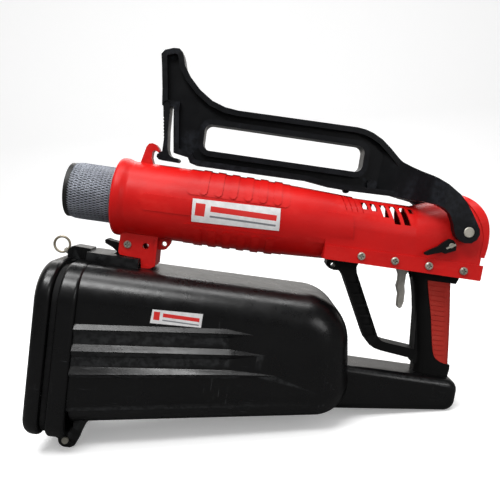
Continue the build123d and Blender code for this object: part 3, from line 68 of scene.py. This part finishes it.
JOINTS = {joint["name"]: joint for joint in frame["record"]["behaviour"]["joints"]}
MM = 0.001

# ---------------------------------------------------------------------------
# Body frame: x runs rearward along the barrel from its lip, y to the operator's
# right, z up from the barrel axis. The latch pin slides out along the barrel,
# towards the muzzle. The CAD origin is the outlet mouth, in front of the lip.
# ---------------------------------------------------------------------------
REAR = -Vector(JOINTS["latch_pull"]["axis"]).normalized()
RIGHT = Vector((0, 1, 0))
UP = REAR.cross(RIGHT).normalized()
MUZZLE_X = -52.5


def spot(x, y, z):
    """CAD point in metres for a body-frame point in millimetres."""
    return (REAR * (x - MUZZLE_X) + RIGHT * y + UP * z) * MM


def add_object(name, data):
    """New object in the scene with the given mesh, light or camera data."""
    item = bpy.data.objects.new(name, data)
    bpy.context.scene.collection.objects.link(item)
    return item


# ---------------------------------------------------------------------------
# Material tools
# ---------------------------------------------------------------------------
class Look:
    """One material on a principled shader, with short calls that add its nodes."""

    def __init__(self, name):
        self.material = bpy.data.materials.new(name)
        self.material.use_nodes = True
        self.tree = self.material.node_tree
        self.tree.nodes.clear()
        surface = self.node("ShaderNodeOutputMaterial")
        self.shader = self.node("ShaderNodeBsdfPrincipled")
        self.link(self.shader.outputs[0], surface.inputs[0])
        self.place = self.node("ShaderNodeTexCoord").outputs["Object"]

    def node(self, kind):
        return self.tree.nodes.new(kind)

    def link(self, output, socket):
        self.tree.links.new(output, socket)

    def feed(self, socket, value):
        """Links a node's output to the socket, or sets the socket to a plain value."""
        if hasattr(value, "is_output"):
            self.link(value, socket)
        else:
            socket.default_value = value

    def along(self, stretch):
        """Coordinates turned into the body frame and stretched per axis."""
        turned = self.node("ShaderNodeMapping")
        turned.vector_type = "TEXTURE"
        turned.inputs["Rotation"].default_value = (0, math.atan2(-REAR.z, REAR.x), 0)
        self.link(self.place, turned.inputs["Vector"])
        stretched = self.node("ShaderNodeMapping")
        stretched.inputs["Scale"].default_value = stretch
        self.link(turned.outputs[0], stretched.inputs["Vector"])
        return stretched.outputs[0]

    def noise(self, scale, detail, rough=0.55, place=None):
        """Noise with about scale waves per metre of its coordinates."""
        noise = self.node("ShaderNodeTexNoise")
        noise.inputs["Scale"].default_value = scale
        noise.inputs["Detail"].default_value = detail
        noise.inputs["Roughness"].default_value = rough
        self.link(self.place if place is None else place, noise.inputs["Vector"])
        return noise.outputs["Fac"]

    def remap(self, value, low, high, to_low, to_high):
        """Carries the range low..high of a value over to to_low..to_high, and holds its ends."""
        ramp = self.node("ShaderNodeMapRange")
        ramp.inputs["From Min"].default_value = low
        ramp.inputs["From Max"].default_value = high
        ramp.inputs["To Min"].default_value = to_low
        ramp.inputs["To Max"].default_value = to_high
        self.feed(ramp.inputs["Value"], value)
        return ramp.outputs["Result"]

    def fade(self, value, low, high, top=1.0):
        """Rises from 0 where the value is low to top where it is high."""
        return self.remap(value, low, high, 0.0, top)

    def math(self, operation, first, second):
        result = self.node("ShaderNodeMath")
        result.operation = operation
        self.feed(result.inputs[0], first)
        self.feed(result.inputs[1], second)
        return result.outputs[0]

    def product(self, *factors):
        """All factors multiplied together."""
        result = factors[0]
        for factor in factors[1:]:
            result = self.math("MULTIPLY", result, factor)
        return result

    def mix(self, share, under, over):
        """Colour that goes from under, where the share is 0, to over, where it is 1."""
        blend = self.node("ShaderNodeMix")
        blend.data_type = "RGBA"
        # in this node's socket lists, 6 and 7 are the two colours and 2 is the mixed colour
        self.feed(blend.inputs[0], share)
        self.feed(blend.inputs[6], under)
        self.feed(blend.inputs[7], over)
        return blend.outputs[2]

    def mottle(self, noise, dark, light):
        """Soft patches of two tones."""
        return self.mix(self.fade(noise, 0.35, 0.65), dark, light)

    def sheen(self, noise, low, high):
        """Roughness that wanders between low and high."""
        return self.remap(noise, 0.3, 0.7, low, high)

    def bump(self, height, strength, depth, normal=None):
        """Surface normal disturbed by a height of the given depth in metres."""
        bump = self.node("ShaderNodeBump")
        bump.inputs["Strength"].default_value = strength
        bump.inputs["Distance"].default_value = depth
        self.link(height, bump.inputs["Height"])
        if normal is not None:
            self.link(normal, bump.inputs["Normal"])
        return bump.outputs[0]

    def finish(self, **sockets):
        """Feeds the shader's sockets, named with _ for each space, and returns the material."""
        for name, value in sockets.items():
            self.feed(self.shader.inputs[name.replace("_", " ")], value)
        return self.material


def rgb(red, green, blue):
    """Linear colour from display values between 0 and 255, by the sRGB curve."""
    linear = []
    for value in (red, green, blue):
        if value > 10:
            linear.append(((value / 255 + 0.055) / 1.055) ** 2.4)
        else:
            linear.append(value / 255 / 12.92)
    return (*linear, 1.0)


def moulded(
    name, colour, dark, light, rough, spread, grain=1500.0, grain_depth=0.00006, grain_strength=0.25,
    scratches=0.0, dust=0.0, wear=0.15, orange_peel=0.0, specular=0.5,
):
    """Moulded plastic: mottled colour, fine grain, uneven sheen, worn edges, scratches and dust."""
    look = Look(name)
    base = look.mottle(look.noise(scale=14.0, detail=6.0), dark, colour)
    roughness = look.sheen(look.noise(scale=55.0, detail=8.0, rough=0.65), rough - spread, rough + spread)

    edges = look.fade(look.node("ShaderNodeNewGeometry").outputs["Pointiness"], 0.515, 0.58)
    rubbed = look.remap(look.noise(scale=220.0, detail=5.0), 0.4, 0.6, 0.2, 1.0)
    base = look.mix(look.product(edges, rubbed, wear), base, light)

    if scratches:
        lengthwise = look.noise(1.0, 3.0, 0.5, look.along((26.0, 420.0, 900.0)))
        upright = look.noise(1.0, 3.0, 0.5, look.along((700.0, 300.0, 36.0)))
        lines = look.math("MAXIMUM", look.fade(lengthwise, 0.66, 0.72), look.fade(upright, 0.68, 0.74))
        handled = look.fade(look.noise(scale=9.0, detail=3.0), 0.45, 0.62)
        scratched = look.product(lines, handled, scratches)
        base = look.mix(scratched, base, light)
        roughness = look.math("ADD", roughness, look.product(scratched, 0.25))

    if dust:
        specks = look.fade(look.noise(scale=950.0, detail=3.0, rough=0.7), 0.66, 0.74, dust)
        base = look.mix(specks, base, light)

    normal = look.bump(look.noise(scale=grain, detail=2.0), grain_strength, grain_depth)
    if orange_peel:
        normal = look.bump(look.noise(scale=130.0, detail=3.0), orange_peel, 0.0006, normal)
    return look.finish(Base_Color=base, Roughness=roughness, Normal=normal, Specular_IOR_Level=specular)


# painted shade: the near-black colour that metals take in their recesses, and the reach in millimetres of
# the occlusion that finds them
PAINTED_RECESS_SHADE = (0.01, 0.01, 0.01, 1)
PAINTED_SHADE_REACH = 1.2


def metal(name, colour, dark, rough, spread, brushed=None, stain=None, wear=0.3, metallic=1.0):
    """Metal with a brushed or cast surface, uneven sheen, stains, and painted shade that darkens its
    recesses.
    """
    look = Look(name)
    base = look.mottle(look.noise(scale=90.0, detail=6.0), dark, colour)
    roughness = look.sheen(look.noise(scale=260.0, detail=6.0, rough=0.6), rough - spread, rough + spread)

    if stain is not None:
        stained = look.fade(look.noise(scale=30.0, detail=6.0, rough=0.6), 0.5, 0.72, wear)
        base = look.mix(stained, base, stain)

    # painted shade: corners and recesses are darkened towards near black where ambient occlusion finds them
    occlusion = look.node("ShaderNodeAmbientOcclusion")
    occlusion.inputs["Distance"].default_value = PAINTED_SHADE_REACH * MM
    occlusion.samples = 6
    base = look.mix(look.remap(occlusion.outputs["AO"], 0.35, 0.85, 0.9, 0.0), base, PAINTED_RECESS_SHADE)

    fine = look.noise(1.0, 2.0, 0.5, look.along(brushed)) if brushed else look.noise(1900.0, 3.0)
    normal = look.bump(fine, strength=0.25, depth=0.00005)
    return look.finish(Base_Color=base, Roughness=roughness, Metallic=metallic, Normal=normal)


# ---------------------------------------------------------------------------
# Plastics and rubbers
# ---------------------------------------------------------------------------
RED = moulded(
    "red_abs", colour=rgb(204, 16, 12), dark=rgb(184, 11, 10), light=rgb(226, 66, 56),
    rough=0.40, spread=0.06, grain=1100.0, grain_depth=0.00008, grain_strength=0.3,
    wear=0.10, dust=0.05, orange_peel=0.12, specular=0.24,
)
STOCK = moulded(
    "black_stock", colour=rgb(8, 9, 13), dark=rgb(5, 6, 9), light=rgb(70, 76, 88),
    rough=0.42, spread=0.06, grain=900.0, grain_depth=0.0001, grain_strength=0.4,
    wear=0.12, scratches=0.08, specular=0.26,
)
GRIP = moulded(
    "black_grip", colour=rgb(9, 9, 9), dark=rgb(6, 6, 6), light=rgb(60, 60, 62),
    rough=0.50, spread=0.06, grain=800.0, grain_depth=0.0001, grain_strength=0.4,
    wear=0.08, specular=0.22,
)
INSERT = moulded(
    "insert_rubber", colour=rgb(176, 44, 34), dark=rgb(154, 36, 28), light=rgb(190, 90, 76),
    rough=0.72, spread=0.06, grain=700.0, grain_depth=0.00012, grain_strength=0.5,
    wear=0.15, dust=0.1, specular=0.2,
)
CASE = moulded(
    "case_plastic", colour=rgb(8, 8, 9), dark=rgb(4, 4, 5), light=rgb(104, 106, 108),
    rough=0.30, spread=0.06, grain=1300.0, grain_depth=0.00006, grain_strength=0.3,
    wear=0.12, scratches=0.30, dust=0.10, orange_peel=0.22, specular=0.52,
)
SEAL = moulded(
    "seal_rubber", colour=rgb(13, 13, 14), dark=rgb(9, 9, 10), light=rgb(60, 60, 60),
    rough=0.7, spread=0.05, grain=900.0, grain_depth=0.0001, grain_strength=0.5, specular=0.25,
)
HOSE = moulded(
    "hose_rubber", colour=rgb(20, 20, 21), dark=rgb(13, 13, 14), light=rgb(70, 70, 70),
    rough=0.6, spread=0.06,
)
BOTTLE = moulded(
    "clear_bottle", colour=rgb(226, 228, 220), dark=rgb(212, 214, 204), light=rgb(250, 250, 246),
    rough=0.35, spread=0.05,
)

# ---------------------------------------------------------------------------
# Metals
# ---------------------------------------------------------------------------
ZINC = metal(
    "zinc_steel", colour=rgb(196, 192, 180), dark=rgb(156, 152, 140), rough=0.40, spread=0.08,
    stain=rgb(128, 118, 96), metallic=0.55,
)
RING_STEEL = metal(
    "ring_steel", colour=rgb(190, 180, 160), dark=rgb(150, 140, 120), rough=0.34, spread=0.08,
    stain=rgb(104, 90, 62), metallic=0.6,
)
GUARD = metal(
    "guard_steel", colour=rgb(190, 195, 206), dark=rgb(164, 169, 180), rough=0.46, spread=0.06,
    stain=rgb(150, 146, 138), wear=0.15, metallic=0.55,
)
STAINLESS = metal(
    "stainless", colour=rgb(180, 176, 168), dark=rgb(140, 134, 124), rough=0.36, spread=0.08,
    brushed=(12.0, 900.0, 900.0), stain=rgb(132, 96, 54), wear=0.6,
)
CAST = metal(
    "cast_grey", colour=rgb(190, 186, 178), dark=rgb(160, 156, 148), rough=0.46, spread=0.08,
    stain=rgb(130, 126, 118), metallic=0.5,
)
BRASS = metal(
    "brass", colour=rgb(206, 166, 92), dark=rgb(168, 128, 62), rough=0.36, spread=0.08,
    stain=rgb(110, 78, 36),
)
SPRING = metal(
    "spring_steel", colour=rgb(170, 170, 168), dark=rgb(120, 120, 118), rough=0.32, spread=0.06,
)

# ---------------------------------------------------------------------------
# Painted metals: the paint looks like a smooth moulding, with bare metal at worn edges
# ---------------------------------------------------------------------------
BLACK_STEEL = moulded(
    "black_steel", colour=rgb(13, 13, 13), dark=rgb(8, 8, 8), light=rgb(80, 76, 70),
    rough=0.5, spread=0.08, grain=1200.0, grain_depth=0.00008, grain_strength=0.4, wear=0.3,
)
PAINT = moulded(
    "cylinder_paint", colour=rgb(52, 92, 150), dark=rgb(44, 80, 134), light=rgb(180, 186, 190),
    rough=0.3, spread=0.05,
)

# ---------------------------------------------------------------------------
# CAD nodes: material, smooth shading and softened edges
# ---------------------------------------------------------------------------
MATERIALS = {
    RED: ["barrel_shell_left", "barrel_shell_right", "rear_cover"],
    STOCK: ["shoulder_stock", "stock_latch"],
    GRIP: ["grip_left", "grip_right", "gas_lever", "clamp_lever", "piezo_igniter", "bottle_cap"],
    INSERT: ["grip_insert"],
    CASE: ["tank_body", "tank_lid"],
    SEAL: ["lid_gasket"],
    HOSE: ["suction_tube", "gas_hose"],
    BOTTLE: ["chemical_bottle"],
    ZINC: ["trigger_pin", "strip_screws_left", "strip_screws_right", "bracket_screw", "pivot_bolt_left",
           "pivot_bolt_right", "lid_hinge_pin", "clamp_pin", "valve_spindle", "pump_plunger", "latch_pin"],
    RING_STEEL: ["pull_ring"],
    GUARD: ["nozzle_guard"],
    STAINLESS: ["front_flange", "rear_flange", "heat_shield", "combustion_tube", "vapour_coil",
                "igniter_electrode"],
    CAST: ["trigger"],
    BRASS: ["fog_tip", "burner_head", "gas_valve_body", "pump_body", "cylinder_regulator"],
    SPRING: ["plunger_spring"],
    BLACK_STEEL: ["outlet_tube"],
    PAINT: ["gas_cylinder"],
}

# width of the softened edges in millimetres, and the pieces where it isn't the usual one
EDGE_WIDTH = 0.25
EDGE_WIDTHS = {
    "barrel_shell_left": 0.5, "barrel_shell_right": 0.5, "rear_cover": 0.8, "shoulder_stock": 1.0,
    "stock_latch": 0.5, "grip_left": 1.2, "grip_right": 1.2, "grip_insert": 0.6, "gas_lever": 0.7,
    "tank_body": 1.2, "tank_lid": 1.2, "lid_gasket": 0.6, "clamp_lever": 0.7, "trigger": 0.9,
}
SHARP_ANGLE = math.radians(32)
WELD_GAP = 0.002


def set_material(item, material):
    """Gives an object one material in place of those it has."""
    item.data.materials.clear()
    item.data.materials.append(material)


def smooth(mesh):
    """Shades every face of a mesh smooth."""
    for face in mesh.polygons:
        face.use_smooth = True


def dress(item, material, edge_width):
    """Gives a CAD node's object its material and softened edges."""
    set_material(item, material)
    smooth(item.data)
    weld = item.modifiers.new("weld", "WELD")
    weld.merge_threshold = WELD_GAP * MM
    bevel = item.modifiers.new("soft_edges", "BEVEL")
    bevel.width = edge_width * MM
    bevel.segments = 2
    bevel.limit_method = "ANGLE"
    bevel.angle_limit = SHARP_ANGLE
    bevel.miter_outer = "MITER_ARC"
    shade = item.modifiers.new("shade", "WEIGHTED_NORMAL")
    shade.keep_sharp = False
    shade.weight = 60


for material, names in MATERIALS.items():
    for name in names:
        dress(NODES[name], material, EDGE_WIDTHS.get(name, EDGE_WIDTH))

# ---------------------------------------------------------------------------
# Stickers: white film with plain bars in place of any lettering
# ---------------------------------------------------------------------------
RED_INK = rgb(206, 40, 36)
GREY_INK = rgb(120, 122, 126)
FILM_DARK = rgb(204, 203, 203)
FILM_LIGHT = rgb(222, 221, 221)

# half length and half height of each print in millimetres, and its bars; a bar is its
# front, rear, bottom and top edge as shares of those halves, and its ink
STICKERS = {
    "barrel_label": (43.6, 11.2, [
        (-0.92, -0.70, -0.55, 0.55, RED_INK),
        (-0.58, 0.92, -0.05, 0.45, RED_INK),
        (-0.58, 0.92, -0.55, -0.38, GREY_INK),
    ]),
    "case_label": (24.4, 7.4, [
        (-0.90, -0.66, -0.55, 0.55, RED_INK),
        (-0.54, 0.90, -0.05, 0.45, RED_INK),
        (-0.54, 0.90, -0.55, -0.38, GREY_INK),
    ]),
}


def sticker(name, middle, half_long, half_high, bars):
    """White film with bars that are placed from its middle, along the barrel and upward."""
    look = Look(name)
    base = look.mottle(look.noise(scale=160.0, detail=5.0), FILM_DARK, FILM_LIGHT)
    offset = look.node("ShaderNodeVectorMath")
    offset.operation = "SUBTRACT"
    look.link(look.place, offset.inputs[0])
    offset.inputs[1].default_value = middle
    shares = []
    for axis, half in ((REAR, half_long), (UP, half_high)):
        part = look.node("ShaderNodeVectorMath")
        part.operation = "DOT_PRODUCT"
        look.link(offset.outputs[0], part.inputs[0])
        part.inputs[1].default_value = axis
        shares.append(look.math("DIVIDE", part.outputs["Value"], half))
    along, upward = shares
    for front, rear, bottom, top, ink in bars:
        inside = look.product(
            look.math("GREATER_THAN", along, front),
            look.math("LESS_THAN", along, rear),
            look.math("GREATER_THAN", upward, bottom),
            look.math("LESS_THAN", upward, top),
        )
        base = look.mix(inside, base, ink)
    roughness = look.sheen(look.noise(scale=90.0, detail=5.0), 0.26, 0.42)
    normal = look.bump(look.noise(scale=500.0, detail=3.0), strength=0.15, depth=0.0001)
    return look.finish(Base_Color=base, Roughness=roughness, Normal=normal)


for name, (half_long, half_high, bars) in STICKERS.items():
    label_low, label_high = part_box(name)
    middle = (Vector(label_low) + Vector(label_high)) / 2
    set_material(NODES[name], sticker(name + "_film", middle, half_long * MM, half_high * MM, bars))

# ---------------------------------------------------------------------------
# Expanded-metal guard: slit and stretched sheet, rolled into a cylinder
# ---------------------------------------------------------------------------
GUARD_RADIUS = 28.7
GUARD_FRONT_X = -48.2
GUARD_REAR_X = 11.0
GUARD_ROWS = 68
CELL_LENGTH = 8.0
STRAND_THICKNESS = 0.45

# each hole as a share of its cell, and how far the cell's corners stand off the cylinder
HOLE_LENGTH = 0.74
HOLE_WIDTH = 0.56
HOLE_LIFT = 0.6
END_LIFT = 0.12
SIDE_LIFT = 0.22

# the mouth is pulled in by this much, over this length
MOUTH_DRAW = 1.1
MOUTH_LENGTH = 7.0
CORNER_GAP = 0.02


def expanded_guard():
    """Staggered diamond cells, each a four-sided ring of tilted strands around its hole."""
    pitch = math.pi * GUARD_RADIUS / GUARD_ROWS
    half = CELL_LENGTH / 2
    columns = int((GUARD_REAR_X - GUARD_FRONT_X) / CELL_LENGTH) + 1
    corners = [(-half, 0, END_LIFT), (0, -pitch, -SIDE_LIFT), (half, 0, -END_LIFT), (0, pitch, SIDE_LIFT)]
    # along the mouth, the front half of a cell is missing
    mouth_corners = [(0.0, 0, 0.0), *corners[1:]]
    bm = bmesh.new()

    def place(x, turn, lift):
        ease = max(0.0, (GUARD_FRONT_X + MOUTH_LENGTH - x) / MOUTH_LENGTH)
        reach = GUARD_RADIUS + lift - MOUTH_DRAW * ease * ease
        return bm.verts.new(spot(x, reach * math.cos(turn), reach * math.sin(turn)))

    def outline(cell_x, turn, cell, length, width, lift):
        """The four corners of a cell, or of its hole when the shares are below 1."""
        return [
            place(cell_x + dx * length, turn + dy * width / GUARD_RADIUS, up * lift)
            for dx, dy, up in cell
        ]

    for row in range(2 * GUARD_ROWS):
        turn = row * pitch / GUARD_RADIUS
        stagger = 0.5 * (row % 2)
        for column in range(columns):
            cell_x = GUARD_FRONT_X + CELL_LENGTH * (column + stagger)
            if cell_x + half > GUARD_REAR_X:
                continue
            cell = mouth_corners if cell_x - half < GUARD_FRONT_X else corners
            ring = outline(cell_x, turn, cell, 1, 1, 1)
            hole = outline(cell_x, turn, cell, HOLE_LENGTH, HOLE_WIDTH, HOLE_LIFT)
            for near in range(4):
                far = (near + 1) % 4
                bm.faces.new((ring[near], ring[far], hole[far], hole[near]))
    bmesh.ops.remove_doubles(bm, verts=bm.verts, dist=CORNER_GAP * MM)
    bmesh.ops.recalc_face_normals(bm, faces=bm.faces)
    mesh = bpy.data.meshes.new("guard_sheet")
    bm.to_mesh(mesh)
    bm.free()
    smooth(mesh)
    mesh.materials.append(GUARD)
    sheet = add_object("guard_mesh", mesh)
    thick = sheet.modifiers.new("thick", "SOLIDIFY")
    thick.thickness = STRAND_THICKNESS * MM
    thick.offset = 0
    return sheet


guard = expanded_guard()
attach(guard, "frame")
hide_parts("nozzle_guard")

# ---------------------------------------------------------------------------
# Plunger spring: a wound wire around the plunger, at one fixed length
# ---------------------------------------------------------------------------
PUMP_Z = -8.0
COIL_FRONT_X = 286.7
COIL_REAR_X = 299.1
COIL_LENGTH = COIL_REAR_X - COIL_FRONT_X
COIL_RADIUS = 6.2
WIRE_RADIUS = 0.6
COIL_TURNS = 5.0
STEPS_PER_TURN = 32
WIRE_SIDES = 10

# advance of a close-wound end turn, in wire radii
END_TURN_ADVANCE = 1.3


def coil_advance(turns):
    """Share of the coil's length that is reached after so many turns."""
    closed = END_TURN_ADVANCE * WIRE_RADIUS / COIL_LENGTH
    if turns < 1.0:
        return closed * turns
    if turns > COIL_TURNS - 1.0:
        return 1.0 - closed * (COIL_TURNS - turns)
    return closed + (1.0 - 2 * closed) * (turns - 1.0) / (COIL_TURNS - 2.0)


def plunger_coil():
    """Compression spring around the plunger, with a close-wound turn at each end."""
    bm = bmesh.new()
    steps = int(COIL_TURNS * STEPS_PER_TURN)
    rings = []
    for step in range(steps + 1):
        share = step / steps
        angle = 2 * math.pi * COIL_TURNS * share
        wire_x = COIL_FRONT_X + COIL_LENGTH * coil_advance(share * COIL_TURNS)
        ring = []
        for side in range(WIRE_SIDES):
            tilt = 2 * math.pi * side / WIRE_SIDES
            x = wire_x + WIRE_RADIUS * math.sin(tilt)
            reach = COIL_RADIUS + WIRE_RADIUS * math.cos(tilt)
            ring.append(bm.verts.new(spot(x, reach * math.cos(angle), PUMP_Z + reach * math.sin(angle))))
        rings.append(ring)
    for near, far in zip(rings, rings[1:]):
        for side in range(WIRE_SIDES):
            following = (side + 1) % WIRE_SIDES
            bm.faces.new((near[side], near[following], far[following], far[side]))
    bm.faces.new(rings[0][::-1])
    bm.faces.new(rings[-1])
    bmesh.ops.recalc_face_normals(bm, faces=bm.faces)
    mesh = bpy.data.meshes.new("coil_wire")
    bm.to_mesh(mesh)
    bm.free()
    for face in mesh.polygons:
        # the faces along the wire have four corners and its flat ends have more
        face.use_smooth = len(face.vertices) == 4
    mesh.materials.append(SPRING)
    return add_object("plunger_coil", mesh)


coil = plunger_coil()
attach(coil, "frame")
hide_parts("plunger_spring")
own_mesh(coil)

# ---------------------------------------------------------------------------
# Studio: pale floor that sweeps up behind the object, and a plain world
# ---------------------------------------------------------------------------
low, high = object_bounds()
centre = (Vector(low) + Vector(high)) / 2
floor_z = low[2]

# the sweep from the side: metres behind the object's centre, and metres above the floor
SWEEP_PROFILE = [(-3.0, 0.0), (1.1, 0.0), (1.35, 0.03), (1.52, 0.12), (1.62, 0.28), (1.65, 0.5), (1.65, 3.6)]
SWEEP_REACH = 4.5

# the paper is white to the camera and dim in the light that it throws back; its mirror image
# on the object is dark at the floor and turns bright between two heights above it, and the
# world's mirror image is dim, so that black plastics read black
PAPER_TO_CAMERA = (1.0, 1.0, 1.0, 1)
PAPER_BOUNCE = (0.30, 0.30, 0.30, 1)
FLOOR_MIRRORED = (0.10, 0.10, 0.10, 1)
WALL_MIRRORED = (1.05, 1.02, 0.98, 1)
WALL_FROM = 0.02
WALL_FULL = 0.30
CAMERA_GLOW = 0.24
WORLD_COLOUR = (1.0, 1.0, 1.0, 1.0)
WORLD_STRENGTH = 0.62
WORLD_MIRRORED = 0.10


def paper():
    """Matt paper whose tone depends on what looks at it."""
    look = Look("studio_paper")
    rays = look.node("ShaderNodeLightPath").outputs
    position = look.node("ShaderNodeSeparateXYZ")
    look.link(look.node("ShaderNodeNewGeometry").outputs["Position"], position.inputs[0])
    wall = look.fade(position.outputs["Z"], floor_z + WALL_FROM, floor_z + WALL_FULL)
    mirrored = look.mix(wall, FLOOR_MIRRORED, WALL_MIRRORED)
    tone = look.mix(rays["Is Glossy Ray"], PAPER_BOUNCE, mirrored)
    tone = look.mix(rays["Is Camera Ray"], tone, PAPER_TO_CAMERA)
    glow = look.product(rays["Is Camera Ray"], CAMERA_GLOW)
    return look.finish(
        Base_Color=tone, Roughness=0.9, Specular_IOR_Level=0.1, Emission_Color=(1, 1, 1, 1),
        Emission_Strength=glow,
    )


def sweep():
    """Floor and back wall as one curved sheet."""
    points = [
        (centre.x + x, centre.y + y, floor_z + z)
        for y, z in SWEEP_PROFILE
        for x in (-SWEEP_REACH, SWEEP_REACH)
    ]
    strips = [(i, i + 1, i + 3, i + 2) for i in range(0, len(points) - 2, 2)]
    mesh = bpy.data.meshes.new("sweep")
    mesh.from_pydata(points, [], strips)
    smooth(mesh)
    mesh.materials.append(paper())
    return add_object("sweep", mesh)


def plain_world():
    """White surroundings that are dimmer in reflections than in their soft light."""
    world = bpy.data.worlds.new("studio")
    world.use_nodes = True
    nodes = world.node_tree.nodes
    links = world.node_tree.links
    colour, strength = nodes["Background"].inputs[:2]
    colour.default_value = WORLD_COLOUR
    rays = nodes.new("ShaderNodeLightPath")
    level = nodes.new("ShaderNodeMapRange")
    level.inputs["To Min"].default_value = WORLD_STRENGTH
    level.inputs["To Max"].default_value = WORLD_MIRRORED
    links.new(rays.outputs["Is Glossy Ray"], level.inputs["Value"])
    links.new(level.outputs["Result"], strength)
    return world


sweep()
bpy.context.scene.world = plain_world()

# ---------------------------------------------------------------------------
# Lights
# ---------------------------------------------------------------------------
# each softbox: its place from the object's centre, width and height in metres, and watts
SOFTBOXES = {
    "key": ((-0.35, -0.75, 1.15), 0.8, 0.35, 12),
    "top": ((0.0, -0.15, 1.3), 1.3, 0.3, 10),
    "fill": ((0.9, -1.2, 0.35), 0.5, 0.5, 3),
    "back": ((0.0, 1.2, 0.9), 1.6, 0.5, 8),
}


def softbox(name, place, width, height, power):
    """Rectangular soft light that faces the object's centre."""
    light = bpy.data.lights.new(name, "AREA")
    light.shape = "RECTANGLE"
    light.size = width
    light.size_y = height
    light.energy = power
    lamp = add_object(name, light)
    lamp.location = place
    lamp.rotation_euler = (centre - place).to_track_quat("-Z", "Y").to_euler()


for name, (offset, width, height, power) in SOFTBOXES.items():
    softbox(name, centre + Vector(offset), width, height, power)

# ---------------------------------------------------------------------------
# Camera: looks a little down on the left flank, with the barrel sloping in the
# picture; its place is in body-frame millimetres and its focal length is given
# as a share of the sensor's width
# ---------------------------------------------------------------------------
CAMERA_SPOT = (131.8, -560.0, 27.3)
PITCH = math.radians(6.6)
SLOPE = math.radians(8.1)
SENSOR_WIDTH = 36.0
FOCAL_SHARE = 1.066

image_right = REAR * math.cos(SLOPE) + UP * math.sin(SLOPE)
level_up = UP * math.cos(SLOPE) - REAR * math.sin(SLOPE)
view = RIGHT * math.cos(PITCH) - level_up * math.sin(PITCH)
image_up = RIGHT * math.sin(PITCH) + level_up * math.cos(PITCH)
camera_data = bpy.data.cameras.new("camera")
camera_data.sensor_width = SENSOR_WIDTH
camera_data.lens = SENSOR_WIDTH * FOCAL_SHARE
camera_data.clip_start = 0.01
camera = add_object("camera", camera_data)
aim = Matrix((image_right, image_up, -view)).transposed().to_4x4()
camera.matrix_world = Matrix.Translation(spot(*CAMERA_SPOT)) @ aim
bpy.context.scene.camera = camera
bpy.context.scene.view_settings.view_transform = "Standard"
